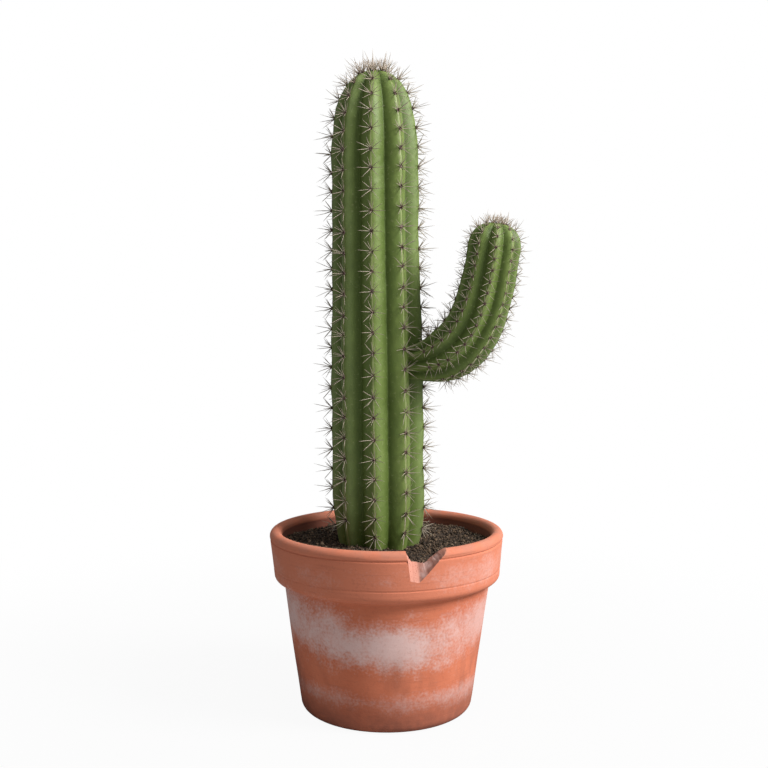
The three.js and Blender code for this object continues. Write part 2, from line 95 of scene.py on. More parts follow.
def grid_faces(rows: int, columns: int) -> Array:
    """Quads of a grid of rows that closes round its columns.

    Args:
        rows: Number of rows of vertices.
        columns: Vertices in each row; the last one joins the first.

    Returns:
        Vertex numbers, four to a row, that face out where columns run anticlockwise seen along the rows.
    """
    row = np.arange(rows - 1)[:, None] * columns
    column = np.arange(columns)[None, :]
    after = (column + 1) % columns
    quads = np.stack([row + column, row + after, row + columns + after, row + columns + column], axis=-1)
    return quads.reshape(-1, 4)


def fan_faces(pole: int, first: int, columns: int, at_start: bool) -> Array:
    """Triangles from a pole to a row of vertices, facing out at the grid's start or at its end."""
    column = first + np.arange(columns)
    after = first + (np.arange(columns) + 1) % columns
    poles = np.full(columns, pole)
    order = [poles, after, column] if at_start else [poles, column, after]
    return np.stack(order, axis=-1)


def mesh_object(name: str, points: Array, polygons: list[Array]) -> bpy.types.Object:
    """A smooth-shaded mesh at the origin.

    Args:
        name: The object's and the mesh's name.
        points: Vertices, three numbers to a row.
        polygons: Arrays of vertex numbers, each of one face size.

    Returns:
        The new object, linked to the scene.
    """
    mesh = bpy.data.meshes.new(name)
    mesh.vertices.add(len(points))
    mesh.vertices.foreach_set("co", np.asarray(points, dtype=np.float32).ravel())
    corners = np.concatenate([faces.ravel() for faces in polygons]).astype(np.int32)
    sizes = np.concatenate([np.full(len(faces), faces.shape[1]) for faces in polygons])
    starts = np.concatenate([[0], np.cumsum(sizes)[:-1]]).astype(np.int32)
    mesh.loops.add(len(corners))
    mesh.loops.foreach_set("vertex_index", corners)
    mesh.polygons.add(len(sizes))
    mesh.polygons.foreach_set("loop_start", starts)
    mesh.update(calc_edges=True)
    mesh.validate()
    mesh.shade_smooth()
    made = bpy.data.objects.new(name, mesh)
    bpy.context.scene.collection.objects.link(made)
    return made


def closed_loft(name: str, rings: Array, start: Array, end: Array) -> bpy.types.Object:
    """A closed surface through rings of points, with a pole at each end.

    Args:
        name: The piece's name.
        rings: Points as rows, columns and coordinates.
        start: The pole before the first row.
        end: The pole after the last row.

    Returns:
        The new object; its vertices are the rings in order, then the two poles.
    """
    rows, columns, _ = rings.shape
    points = np.concatenate([rings.reshape(-1, 3), start[None], end[None]])
    poles = rows * columns
    faces = [
        grid_faces(rows, columns),
        fan_faces(poles, 0, columns, at_start=True),
        fan_faces(poles + 1, (rows - 1) * columns, columns, at_start=False),
    ]
    return mesh_object(name, points, faces)


def paint(piece: bpy.types.Object, name: str, values: Array) -> None:
    """Stores one number for each vertex under a name; vertices past the last value get its mean."""
    mesh = piece.data
    flat = np.asarray(values, dtype=np.float32).ravel()
    padded = np.full(len(mesh.vertices), flat.mean(), dtype=np.float32)
    padded[: len(flat)] = flat
    mesh.attributes.new(name, "FLOAT", "POINT").data.foreach_set("value", padded)


def copies(name: str, shape: Array, faces: Array, places: Array, axes: Array) -> bpy.types.Object:
    """One mesh of many copies of a small shape.

    Args:
        name: The piece's name.
        shape: The shape's vertices for each copy, as copies, vertices and coordinates.
        faces: The shape's faces.
        places: Where each copy's origin goes.
        axes: Each copy's three axes, as rows of a matrix.

    Returns:
        The new object.
    """
    count, size, _ = shape.shape
    points = np.einsum("nki,nij->nkj", shape, axes) + places[:, None, :]
    shifted = faces[None] + (np.arange(count) * size)[:, None, None]
    return mesh_object(name, points.reshape(-1, 3), [shifted.reshape(-1, faces.shape[1])])


def dress(piece: bpy.types.Object, finish: bpy.types.Material, slot: str, *nodes: str) -> None:
    """Gives a piece its material and its body, and hides the CAD nodes that it stands for.

    Args:
        piece: The piece.
        finish: Its material.
        slot: The record's name for that material; not used.
        nodes: The CAD nodes it replaces, if any.
    """
    piece.data.materials.clear()
    piece.data.materials.append(finish)
    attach(piece, "root")
    if nodes:
        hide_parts(*nodes)
    LOG.info("%s: %d faces", piece.name, len(piece.data.polygons))


# ---------------------------------------------------------------- shader graphs


class Graph:
    """A short way to write a node tree: each method adds one node and returns its output."""

    def __init__(self, tree: bpy.types.NodeTree) -> None:
        """Starts on a tree, which is emptied."""
        self.tree = tree
        tree.nodes.clear()

    def add(self, kind: str, inputs: dict | None = None, **settings: object) -> bpy.types.Node:
        """Adds a node.

        Args:
            kind: The node's type.
            inputs: Values or outputs for its inputs, by name or number.
            settings: The node's own properties.

        Returns:
            The node.
        """
        node = self.tree.nodes.new(kind)
        for key, value in settings.items():
            setattr(node, key, value)
        for key, value in (inputs or {}).items():
            self.feed(node.inputs[key], value)
        return node

    def feed(self, socket: bpy.types.NodeSocket, value: object) -> None:
        """Links an output to a socket, or sets the socket's own value."""
        if isinstance(value, bpy.types.NodeSocket):
            self.tree.links.new(value, socket)
        elif isinstance(value, tuple) and socket.type == "RGBA":
            socket.default_value = (*value, 1.0)
        else:
            socket.default_value = value

    def attribute(self, name: str) -> bpy.types.NodeSocket:
        """One number stored on the mesh."""
        return self.add("ShaderNodeAttribute", attribute_name=name).outputs["Fac"]

    def place(self) -> bpy.types.NodeSocket:
        """The place on the object, in metres."""
        return self.add("ShaderNodeTexCoord").outputs["Object"]

    def stretched(self, scale: tuple[float, float, float]) -> bpy.types.NodeSocket:
        """The place on the object, multiplied by a scale for each axis."""
        return self.add("ShaderNodeMapping", {"Vector": self.place(), "Scale": scale}).outputs[0]

    def maths(self, operation: str, *values: object) -> bpy.types.NodeSocket:
        """A Math node."""
        return self.add("ShaderNodeMath", dict(enumerate(values)), operation=operation).outputs[0]

    def times(self, first: object, second: object) -> bpy.types.NodeSocket:
        """A product."""
        return self.maths("MULTIPLY", first, second)

    def line(self, value: object, slope: object, start: object) -> bpy.types.NodeSocket:
        """A straight line: value times slope, plus start."""
        return self.maths("MULTIPLY_ADD", value, slope, start)

    def axes(self) -> tuple[bpy.types.NodeSocket, ...]:
        """The place's x, y and z, each by itself."""
        return tuple(self.add("ShaderNodeSeparateXYZ", {"Vector": self.place()}).outputs)

    def step(self, value: object, start: float, end: float) -> bpy.types.NodeSocket:
        """Smooth step from 0 at start to 1 at end, or the other way round where start is the greater."""
        low, high = min(start, end), max(start, end)
        ends = (0.0, 1.0) if start < end else (1.0, 0.0)
        inputs = {"Value": value, "From Min": low, "From Max": high, "To Min": ends[0], "To Max": ends[1]}
        return self.add("ShaderNodeMapRange", inputs, interpolation_type="SMOOTHSTEP").outputs[0]

    def mix(self, share: object, first: object, second: object) -> bpy.types.NodeSocket:
        """A colour between two, by a share."""
        node = self.add("ShaderNodeMix", data_type="RGBA")
        for socket, value in zip((node.inputs[0], node.inputs[6], node.inputs[7]), (share, first, second)):
            self.feed(socket, value)
        return node.outputs[2]

    def noise(self, vector: object, scale: object, detail: float = 3.0) -> bpy.types.NodeSocket:
        """Fractal noise of a scale, between 0 and 1."""
        return self.add("ShaderNodeTexNoise", {"Vector": vector, "Scale": scale, "Detail": detail}).outputs[0]

    def effect(self, group: bpy.types.NodeTree, **inputs: object) -> bpy.types.Node:
        """One of the shared effects, with its own values."""
        node = self.add("ShaderNodeGroup", node_tree=group)
        for key, value in inputs.items():
            self.feed(node.inputs[key], value)
        return node

    def bump(self, height: object, distance: float) -> bpy.types.NodeSocket:
        """A normal bent by a height."""
        inputs = {"Height": height, "Distance": distance, "Strength": 1.0}
        return self.add("ShaderNodeBump", inputs).outputs[0]


def effect_group(name: str, inputs: dict[str, object], outputs: dict[str, str]) -> tuple[Graph, dict, dict]:
    """A new node group with named sockets.

    Args:
        name: The group's name.
        inputs: Each input's default; a number makes a float socket and None a vector one.
        outputs: Each output's socket type.

    Returns:
        The group's graph, its inputs by name and its output sockets by name.
    """
    tree = bpy.data.node_groups.new(name, "ShaderNodeTree")
    graph = Graph(tree)
    for key, default in inputs.items():
        kind = "NodeSocketVector" if default is None else "NodeSocketFloat"
        socket = tree.interface.new_socket(key, in_out="INPUT", socket_type=kind)
        if default is not None:
            socket.default_value = default
    for key, kind in outputs.items():
        tree.interface.new_socket(key, in_out="OUTPUT", socket_type=kind)
    entry = graph.add("NodeGroupInput")
    leave = graph.add("NodeGroupOutput")
    return graph, entry.outputs, leave.inputs


def mottle_group() -> bpy.types.NodeTree:
    """Cloudy patches: noise at two scales, pulled to a mask by a threshold and a softness.

    Returns:
        The group, with Vector, Scale, Threshold and Softness in and Mask out.
    """
    graph, given, result = effect_group(
        "Mottle",
        {"Vector": None, "Scale": 30.0, "Threshold": 0.5, "Softness": 0.1},
        {"Mask": "NodeSocketFloat"},
    )
    broad = graph.noise(given["Vector"], given["Scale"], 5.0)
    fine = graph.noise(given["Vector"], graph.times(given["Scale"], 6.0), 4.0)
    both = graph.line(fine, 0.35, graph.times(broad, 0.65))
    low = graph.maths("SUBTRACT", given["Threshold"], given["Softness"])
    high = graph.maths("ADD", given["Threshold"], given["Softness"])
    ranged = graph.add("ShaderNodeMapRange", interpolation_type="SMOOTHSTEP")
    for socket, value in zip(ranged.inputs, (both, low, high)):
        graph.feed(socket, value)
    graph.feed(result["Mask"], ranged.outputs[0])
    return graph.tree


def grain_group() -> bpy.types.NodeTree:
    """Fine grain: a height for bump, and a mask of its sparse specks.

    Returns:
        The group, with Vector, Scale and the Specks threshold in, and Height and the Specks mask out.
    """
    graph, given, result = effect_group(
        "Grain",
        {"Vector": None, "Scale": 900.0, "Specks": 0.66},
        {"Height": "NodeSocketFloat", "Specks": "NodeSocketFloat"},
    )
    fine = graph.noise(given["Vector"], given["Scale"], 3.0)
    coarse = graph.noise(given["Vector"], graph.times(given["Scale"], 0.37), 2.0)
    height = graph.line(coarse, 0.6, graph.times(fine, 0.4))
    top = graph.maths("ADD", given["Specks"], 0.05)
    specks = graph.add("ShaderNodeMapRange", {"Value": coarse})
    graph.feed(specks.inputs[1], given["Specks"])
    graph.feed(specks.inputs[2], top)
    graph.feed(result["Height"], height)
    graph.feed(result["Specks"], specks.outputs[0])
    return graph.tree


@dataclass(frozen=True)
class Effects:
    """The node groups that several finishes share."""

    mottle: bpy.types.NodeTree
    grain: bpy.types.NodeTree


class Finish:
    """A surface finish: subclasses say its colour, roughness and normal."""

    name: str = "finish"

    def surface(self, graph: Graph, effects: Effects) -> dict[str, object]:
        """The Principled shader's inputs by name."""
        raise NotImplementedError

    def make(self, effects: Effects) -> bpy.types.Material:
        """Builds the material.

        Args:
            effects: The shared node groups.

        Returns:
            The material, with one Principled shader.
        """
        material = bpy.data.materials.new(self.name)
        material.use_nodes = True
        graph = Graph(material.node_tree)
        shader = graph.add("ShaderNodeBsdfPrincipled", self.surface(graph, effects))
        graph.add("ShaderNodeOutputMaterial", {"Surface": shader.outputs[0]})
        return material


@dataclass(frozen=True)
class CactusSkin(Finish):
    """Waxy green skin: paler on the crests between areoles, with painted shade darkening the valleys, corky
    low down.
    """

    name: str = "cactus_skin"
    green: Colour = (0.118, 0.172, 0.036)
    green_other: Colour = (0.150, 0.205, 0.046)
    crest: Colour = (0.320, 0.350, 0.155)
    # Painted shade: the dark green laid into the valleys between ribs, where shade falls.
    valley_shade: Colour = (0.070, 0.108, 0.018)
    bloom: Colour = (0.185, 0.240, 0.095)
    cork: Colour = (0.270, 0.235, 0.135)
    bloom_least: float = 0.08
    bloom_gain: float = 0.55
    # How much of the painted valley shade is mixed in.
    valley_shade_gain: float = 0.85
    lens_share: float = 0.8
    speck_share: float = 0.25
    roughness: float = 0.52
    shine: float = 0.3
    relief: float = 0.12 * MM

    def bloom_mask(self, graph: Graph, across: object, streaks: object) -> bpy.types.NodeSocket:
        """Where wax dulls the skin: a streaked band on each flank, strongest away from the front.

        Args:
            graph: The material's graph.
            across: Place across the rib, from 0 on its crest to 1 at the bottom between two ribs.
            streaks: Noise drawn out along the limb.

        Returns:
            The share of bloom.
        """
        band = graph.times(graph.step(across, 0.05, 0.25), graph.step(across, 0.78, 0.38))
        streaked = graph.times(band, graph.line(streaks, 0.8, 0.3))
        return graph.times(streaked, graph.line(graph.attribute("bloom"), self.bloom_gain, self.bloom_least))

    def surface(self, graph: Graph, effects: Effects) -> dict[str, object]:
        """Greens by the distance across a rib and along it, with fine mottling."""
        across = graph.attribute("across")
        long_grain = graph.stretched((1, 1, 0.35))
        patches = graph.effect(effects.mottle, Vector=long_grain, Scale=55.0, Softness=0.16)
        colour = graph.mix(patches.outputs[0], self.green, self.green_other)
        streaks = graph.noise(graph.stretched((1, 1, 0.12)), 260.0)
        bloom = self.bloom_mask(graph, across, streaks)
        colour = graph.mix(bloom, colour, self.bloom)
        # Painted shade: the colour darkens towards the valleys between ribs.
        valley_shade = graph.times(graph.step(across, 0.35, 0.95), self.valley_shade_gain)
        colour = graph.mix(valley_shade, colour, self.valley_shade)
        colour = graph.mix(graph.times(graph.attribute("lens"), self.lens_share), colour, self.crest)
        corky = graph.effect(effects.mottle, Vector=graph.place(), Scale=120.0, Threshold=0.52, Softness=0.08)
        cork = graph.times(graph.attribute("cork"), corky.outputs[0])
        colour = graph.mix(cork, colour, self.cork)
        grain = graph.effect(effects.grain, Vector=graph.place(), Scale=1500.0, Specks=0.64)
        colour = graph.mix(graph.times(grain.outputs["Specks"], self.speck_share), colour, self.crest)
        rough = graph.line(cork, 0.3, graph.line(bloom, 0.12, self.roughness))
        wrinkles = graph.line(streaks, 0.5, grain.outputs["Height"])
        normal = graph.bump(wrinkles, self.relief)
        return {"Base Color": colour, "Roughness": rough, "Specular IOR Level": self.shine, "Normal": normal}


@dataclass(frozen=True)
class LimeBand:
    """A faint straight band of lime: its height, half its width, its threshold and its strength."""

    level: float
    reach: float
    least: float
    most: float
    right_gain: float = 0.0


@dataclass(frozen=True)
class Terracotta(Finish):
    """Fired clay: streaked by the wheel, with lime bloom, an inside made dark by stain and painted shade, and
    a pale fresh break with painted shade on its face turned from the light.
    """

    name: str = "terracotta"
    clay: Colour = (0.520, 0.135, 0.062)
    clay_other: Colour = (0.610, 0.180, 0.090)
    collar: Colour = (0.600, 0.185, 0.100)
    lime: Colour = (0.740, 0.600, 0.580)
    # Dark brown: damp stains at the foot, and on the inside wall staining together with painted shade.
    stain_and_shade: Colour = (0.170, 0.052, 0.032)
    fresh: Colour = (0.545, 0.240, 0.175)
    # Painted shade for the break's face turned from the light; lime smudges add weathering on it.
    worn_and_shaded: Colour = (0.250, 0.110, 0.080)
    speck: Colour = (0.330, 0.100, 0.060)
    dust: Colour = (0.400, 0.190, 0.135)
    collar_base: float = 88 * MM
    lip_base: float = 116 * MM
    foot_stain: float = 34 * MM
    lime_level: float = 65 * MM
    lime_swing: float = 6 * MM
    lime_turn: float = math.radians(16)
    lime_reach: float = 34 * MM
    lime_share: float = 0.7
    right_loss: float = 0.35
    faint_bands: tuple[LimeBand, ...] = (
        LimeBand(level=21 * MM, reach=19 * MM, least=0.62, most=0.75),
        LimeBand(level=104 * MM, reach=26 * MM, least=0.85, most=0.48, right_gain=0.332),
    )
    dust_share: float = 0.55
    ring_share: float = 0.22
    speck_share: float = 0.16
    foot_share: float = 0.85
    run_share: float = 0.65
    # How far the inside wall is darkened by staining and painted shade.
    inside_stain_and_shade_share: float = 0.85
    smudge_share: float = 0.3
    # How much painted shade, with weathering, covers that face of the break.
    weathered_and_shaded_share: float = 0.9
    roughness: float = 0.88
    relief: float = 0.12 * MM

    def ragged(self, graph: Graph) -> bpy.types.NodeSocket:
        """Noise about 0 at three scales, clouds, spots and spray, that frays the lime's edges."""
        raised = []
        for scale, detail in ((28.0, 7.0), (130.0, 4.0), (620.0, 8.0)):
            raised.append(graph.maths("SUBTRACT", graph.noise(graph.place(), scale, detail), 0.5))
        clouds, spots, spray = raised
        return graph.line(spots, 0.75, graph.line(clouds, 1.35, graph.times(spray, 0.95)))

    def lime_mask(self, graph: Graph) -> bpy.types.NodeSocket:
        """Where lime has bloomed: a band that rises and falls twice round the body, and faint straight ones.

        Args:
            graph: The material's graph.

        Returns:
            The share of lime.
        """
        x, y, z = graph.axes()
        azimuth = graph.maths("ARCTAN2", x, graph.times(y, -1.0))
        turned = graph.maths("SUBTRACT", graph.times(azimuth, 2.0), self.lime_turn)
        middle = graph.line(graph.maths("COSINE", turned), -self.lime_swing, self.lime_level)
        away = graph.maths("ABSOLUTE", graph.maths("SUBTRACT", z, middle))
        ragged = self.ragged(graph)
        near = graph.step(away, self.lime_reach, 0.0)
        total = graph.step(graph.maths("ADD", near, ragged), 0.25, 1.2)
        right = graph.step(x, 15 * MM, 60 * MM)
        total = graph.times(total, graph.line(right, -self.right_loss, 1.0))
        for band in self.faint_bands:
            away = graph.maths("ABSOLUTE", graph.maths("SUBTRACT", z, band.level))
            near = graph.maths("ADD", graph.step(away, band.reach, 0.0), ragged)
            raised = graph.line(right, band.right_gain, near)
            patch = graph.step(raised, band.least, band.least + 1.0)
            total = graph.maths("MAXIMUM", total, graph.times(patch, band.most))
        return total

    def clay_colour(
        self, graph: Graph, effects: Effects, height: object, rings: object
    ) -> bpy.types.NodeSocket:
        """Clay by height: patches on the body, a lighter collar, a dusty lip and the wheel's rings.

        Args:
            graph: The material's graph.
            effects: The shared node groups.
            height: Height on the pot.
            rings: Noise drawn out round the pot.

        Returns:
            The colour before lime and stains.
        """
        patches = graph.effect(effects.mottle, Vector=graph.place(), Scale=18.0, Softness=0.2)
        colour = graph.mix(patches.outputs[0], self.clay, self.clay_other)
        collar = graph.step(height, self.collar_base, self.collar_base + 6 * MM)
        colour = graph.mix(collar, colour, self.collar)
        lip = graph.step(height, self.lip_base, self.lip_base + 4 * MM)
        handled = graph.step(graph.noise(graph.place(), 90.0, 5.0), 0.3, 0.7)
        dusty = graph.times(graph.times(lip, handled), self.dust_share)
        colour = graph.mix(dusty, colour, self.dust)
        return graph.mix(graph.times(graph.step(rings, 0.52, 0.72), self.ring_share), colour, self.speck)

    def stain_mask(self, graph: Graph, effects: Effects, height: object) -> bpy.types.NodeSocket:
        """Where damp has stained the foot: patches near the ground, and runs that reach higher.

        Args:
            graph: The material's graph.
            effects: The shared node groups.
            height: Height on the pot.

        Returns:
            The share of damp staining.
        """
        damp = graph.effect(effects.mottle, Vector=graph.place(), Scale=40.0, Threshold=0.45, Softness=0.2)
        foot = graph.times(graph.step(height, self.foot_stain, 0.0), self.foot_share)
        foot = graph.times(foot, graph.line(damp.outputs[0], 0.5, 0.5))
        runs = graph.step(graph.noise(graph.stretched((1, 1, 0.25)), 38.0), 0.5, 0.66)
        runs = graph.times(runs, graph.step(height, 2 * self.foot_stain, 0.5 * self.foot_stain))
        return graph.maths("MAXIMUM", foot, graph.times(runs, self.run_share))

    def break_colour(self, graph: Graph) -> bpy.types.NodeSocket:
        """Clay in the break: gritty and pale where it is fresh; on the face turned from the light, brown
        painted shade with lime smudges of weathering.
        """
        grit = graph.noise(graph.place(), 1400.0, 4.0)
        fresh = graph.mix(graph.step(grit, 0.55, 0.7), self.fresh, self.speck)
        smudge = graph.step(graph.noise(graph.place(), 110.0), 0.5, 0.68)
        worn_and_shaded = graph.mix(graph.times(smudge, self.smudge_share), self.worn_and_shaded, self.lime)
        # The marked face of the break gets the painted shade.
        return graph.mix(graph.times(graph.attribute("weathered_and_shaded"), self.weathered_and_shaded_share), fresh, worn_and_shaded)

    def surface(self, graph: Graph, effects: Effects) -> dict[str, object]:
        """Clay colours by height and side of the wall, under lime, staining and specks, with painted shade on
        the inside wall and on one face of the break.
        """
        _, _, height = graph.axes()
        rings = graph.noise(graph.stretched((0.06, 0.06, 1.0)), 700.0, 4.0)
        colour = self.clay_colour(graph, effects, height, rings)
        lime = self.lime_mask(graph)
        colour = graph.mix(graph.times(lime, self.lime_share), colour, self.lime)
        grain = graph.effect(effects.grain, Vector=graph.place(), Scale=1500.0, Specks=0.6)
        colour = graph.mix(graph.times(grain.outputs["Specks"], self.speck_share), colour, self.speck)
        colour = graph.mix(self.stain_mask(graph, effects, height), colour, self.stain_and_shade)
        # Staining with painted shade: the inside wall is darkened.
        colour = graph.mix(graph.times(graph.attribute("inside"), self.inside_stain_and_shade_share), colour, self.stain_and_shade)
        colour = graph.mix(graph.attribute("broken"), colour, self.break_colour(graph))
        relief = graph.line(rings, 0.8, grain.outputs["Height"])
        rough = graph.line(lime, 0.08, self.roughness)
        return {"Base Color": colour, "Roughness": rough, "Normal": graph.bump(relief, self.relief)}


@dataclass(frozen=True)
class Soil(Finish):
    """Dark potting compost; crumbs carry their own shade, and a few are pale grit."""

    name: str = "potting_soil"
    dark: Colour = (0.024, 0.014, 0.008)
    brown: Colour = (0.098, 0.060, 0.034)
    grit: Colour = (0.170, 0.118, 0.075)
    roughness: float = 0.95
    relief: float = 0.3 * MM

    def surface(self, graph: Graph, effects: Effects) -> dict[str, object]:
        """Dark to brown by each crumb's shade, then grit for the palest of them."""
        shade = graph.attribute("shade")
        grain = graph.effect(effects.grain, Vector=graph.place(), Scale=1300.0, Specks=0.6)
        varied = graph.line(grain.outputs["Height"], 0.5, graph.maths("SUBTRACT", shade, 0.25))
        colour = graph.mix(graph.step(varied, 0.1, 0.8), self.dark, self.brown)
        colour = graph.mix(graph.step(shade, 0.86, 0.93), colour, self.grit)
        normal = graph.bump(grain.outputs["Height"], self.relief)
        return {"Base Color": colour, "Roughness": self.roughness, "Normal": normal}


@dataclass(frozen=True)
class SpineHorn(Finish):
    """Horny spines: dark at the root, grey-tan along the shaft and browner at the tip."""

    name: str = "spines"
    root: Colour = (0.080, 0.040, 0.032)
    shaft: Colour = (0.410, 0.345, 0.265)
    tip: Colour = (0.300, 0.225, 0.165)
    young: Colour = (0.620, 0.500, 0.400)
    tip_share: float = 0.6
    young_share: float = 0.7
    tint_share: float = 0.3
    roughness: float = 0.5
    relief: float = 0.05 * MM

    def surface(self, graph: Graph, effects: Effects) -> dict[str, object]:
        """Colour by the distance along a spine, each spine's tint and its age."""
        along, tint = graph.attribute("along"), graph.attribute("tint")
        colour = graph.mix(graph.step(along, 0.0, 0.22), self.root, self.shaft)
        colour = graph.mix(graph.times(graph.step(along, 0.6, 1.0), self.tip_share), colour, self.tip)
        colour = graph.mix(graph.times(graph.attribute("young"), self.young_share), colour, self.young)
        colour = graph.mix(graph.times(tint, self.tint_share), colour, self.root)
        grain = graph.effect(effects.grain, Vector=graph.stretched((1, 1, 0.5)), Scale=2500.0)
        normal = graph.bump(grain.outputs["Height"], self.relief)
        return {"Base Color": colour, "Roughness": self.roughness, "Normal": normal}


@dataclass(frozen=True)
class AreoleFelt(Finish):
    """The felted cushion that each cluster of spines grows from."""

    name: str = "areole_felt"
    felt: Colour = (0.110, 0.060, 0.048)
    wool: Colour = (0.300, 0.235, 0.190)
    roughness: float = 0.95
    relief: float = 0.3 * MM

    def surface(self, graph: Graph, effects: Effects) -> dict[str, object]:
        """Brown felt with paler wool on top."""
        grain = graph.effect(effects.grain, Vector=graph.place(), Scale=2600.0, Specks=0.52)
        wool = graph.times(graph.attribute("wool"), grain.outputs["Specks"])
        colour = graph.mix(wool, self.felt, self.wool)
        normal = graph.bump(grain.outputs["Height"], self.relief)
        return {"Base Color": colour, "Roughness": self.roughness, "Normal": normal}


# ---------------------------------------------------------------- the pot


@dataclass
class ClayPot:
    """The thrown pot: its profile is turned round the axis, and a chip is broken out of the rim."""

    wall: float = 8 * MM
    floor: float = 9 * MM
    foot_radius: float = 58.3 * MM
    foot_round: float = 6 * MM
    collar_height: float = 34 * MM
    collar_taper: float = 2.4 * MM
    collar_step: float = 6.6 * MM
    collar_round: float = 5 * MM
    grooves: tuple[tuple[float, float], ...] = ((6 * MM, 0.65 * MM), (25 * MM, 0.3 * MM))
    groove_half_width: float = 0.5 * MM
    collar_rows: int = 92
    drain_radius: float = 6 * MM
    drain_circle: float = 25 * MM
    chip_from: float = 7.6
    chip_to: float = 30.5
    chip_outer: tuple[tuple[float, float], ...] = ((7.9, -7.8), (10.8, 18.3), (15.2, 19.6), (30.0, -1.6))
    chip_inner: tuple[tuple[float, float], ...] = ((7.6, -1.9), (12.2, 7.5), (19.3, 9.0), (30.0, -0.8))
    chip_zone: float = 26 * MM
    chip_step: float = 0.16
    plain_columns: int = 240
    lip_rows: int = 19
    jag: float = 0.15 * MM
    grit: float = 0.1 * MM
    swell: float = 0.25 * MM
    drains: int = 3
    drain_sides: int = 40
    height: float = field(init=False)
    rim_radius: float = field(init=False)

    def __post_init__(self) -> None:
        """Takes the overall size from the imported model."""
        low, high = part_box("pot")
        self.height = high[2]
        self.rim_radius = (high[0] - low[0]) / 2

    @property
    def collar_radius(self) -> float:
        """Outer radius at the collar's lower edge."""
        return self.rim_radius - self.collar_taper

    @property
    def body_radius(self) -> float:
        """Outer radius of the body, just under the collar."""
        return self.collar_radius - self.collar_step

    @property
    def collar_base(self) -> float:
        """Height of the collar's lower edge."""
        return self.height - self.collar_height

    @property
    def lip_base(self) -> float:
        """Height at which the rim starts to round over."""
        return self.height - self.wall / 2

    @staticmethod
    def arc(centre: tuple[float, float], radii: tuple[float, float], count: int) -> Array:
        """Points of the lower right quarter of an ellipse, as radius and height.

        Args:
            centre: The ellipse's centre.
            radii: Its half-widths across and up.
            count: How many points.

        Returns:
            The points, from straight below the centre to level with it.
        """
        angle = np.linspace(-math.pi / 2, 0.0, count)
        return np.stack([centre[0] + radii[0] * np.cos(angle), centre[1] + radii[1] * np.sin(angle)], axis=-1)

    @staticmethod
    def line(start: tuple[float, float], end: tuple[float, float], count: int) -> Array:
        """Points evenly along a line, without its ends."""
        share = np.linspace(0.0, 1.0, count + 2)[1:-1, None]
        return np.asarray(start) * (1 - share) + np.asarray(end) * share

    def outer_wall(self) -> Array:
        """The outline from near the foot's centre up to where the rim starts to round over."""
        foot = (self.foot_radius - self.foot_round, self.foot_round)
        under = (self.body_radius, self.collar_base + self.collar_round)
        return np.concatenate([
            self.line((0.0, 0.0), (foot[0], 0.0), 7),
            self.arc(foot, (self.foot_round, self.foot_round), 8),
            self.line((self.foot_radius, foot[1]), (self.body_radius, self.collar_base), 40),
            self.arc(under, (self.collar_step, self.collar_round), 9),
            self.line((self.collar_radius, under[1]), (self.rim_radius, self.lip_base), self.collar_rows),
        ])

    def inner_wall(self) -> Array:
        """The outline from where the rim has rounded over down to near the floor's centre."""
        shoulder = self.collar_base + self.collar_round
        corners = [
            (self.rim_radius - self.wall, self.lip_base),
            (self.collar_radius - self.wall, shoulder),
            (self.body_radius - self.wall, self.collar_base - self.collar_round),
            (self.foot_radius - self.wall, self.floor),
            (0.0, self.floor),
        ]
        counts = (18, 5, 16, 8)
        parts = [self.line(a, b, count) for a, b, count in zip(corners, corners[1:], counts)]
        return np.concatenate(parts)

    def chip_height(self, degrees: Array, drops: tuple[tuple[float, float], ...]) -> Array:
        """Height of the broken face at azimuths, which is straight between given drops below the rim.

        Args:
            degrees: The azimuths.
            drops: Azimuths in degrees, each with its drop in millimetres.

        Returns:
            The heights; outside the drops they are well above the rim, so nothing is cut there.
        """
        at, drop = np.array(drops).T
        away = np.interp(degrees, at, drop, left=-20.0, right=-20.0)
        return self.height - away * MM

    def columns(self) -> Array:
        """Azimuths of the grid's columns in degrees, close together across the chip."""
        chip = np.arange(self.chip_from, self.chip_to, self.chip_step)
        rest = np.linspace(self.chip_to, self.chip_from + 360.0, self.plain_columns, endpoint=False)
        return np.concatenate([chip, rest])

    def squeezed(self, wall: Array, edge: Array) -> tuple[Array, Array]:
        """A wall whose part above the chip's zone is pressed down evenly to the broken edge.

        Args:
            wall: The wall's outline, as radius and height.
            edge: Height of its upper edge in each column.

        Returns:
            Radii and heights, each as rows and columns.
        """
        zone = self.lip_base - self.chip_zone
        plain = wall[:, 1][:, None]
        above = np.clip((plain - zone) / (self.lip_base - zone), 0.0, None)
        height = np.where(plain > zone, zone + above * (edge[None, :] - zone), plain)
        order = np.argsort(wall[:, 1])
        radius = np.interp(height, wall[order, 1], wall[order, 0])
        return np.where(plain > zone, radius, wall[:, 0][:, None]), height

    def unevenness(self, points: Array, radius: Array, inside: Array) -> Array:
        """How far the hand-made wall swells outward, less its turned grooves.

        A groove is a depth times exp(-a^2), where a is the distance from its middle in half-widths.

        Args:
            points: The pot's points.
            radius: Their distance from the axis.
            inside: 1 on the inner wall and 0 elsewhere.

        Returns:
            Distances outward.
        """
        swell = ripple(points, 60 * MM, 3) * self.swell
        for drop, depth in self.grooves:
            at = (points[..., 2] - (self.height - drop)) / self.groove_half_width
            swell = swell - depth * np.exp(-at * at) * (1 - inside) * (radius > self.foot_radius)
        return swell

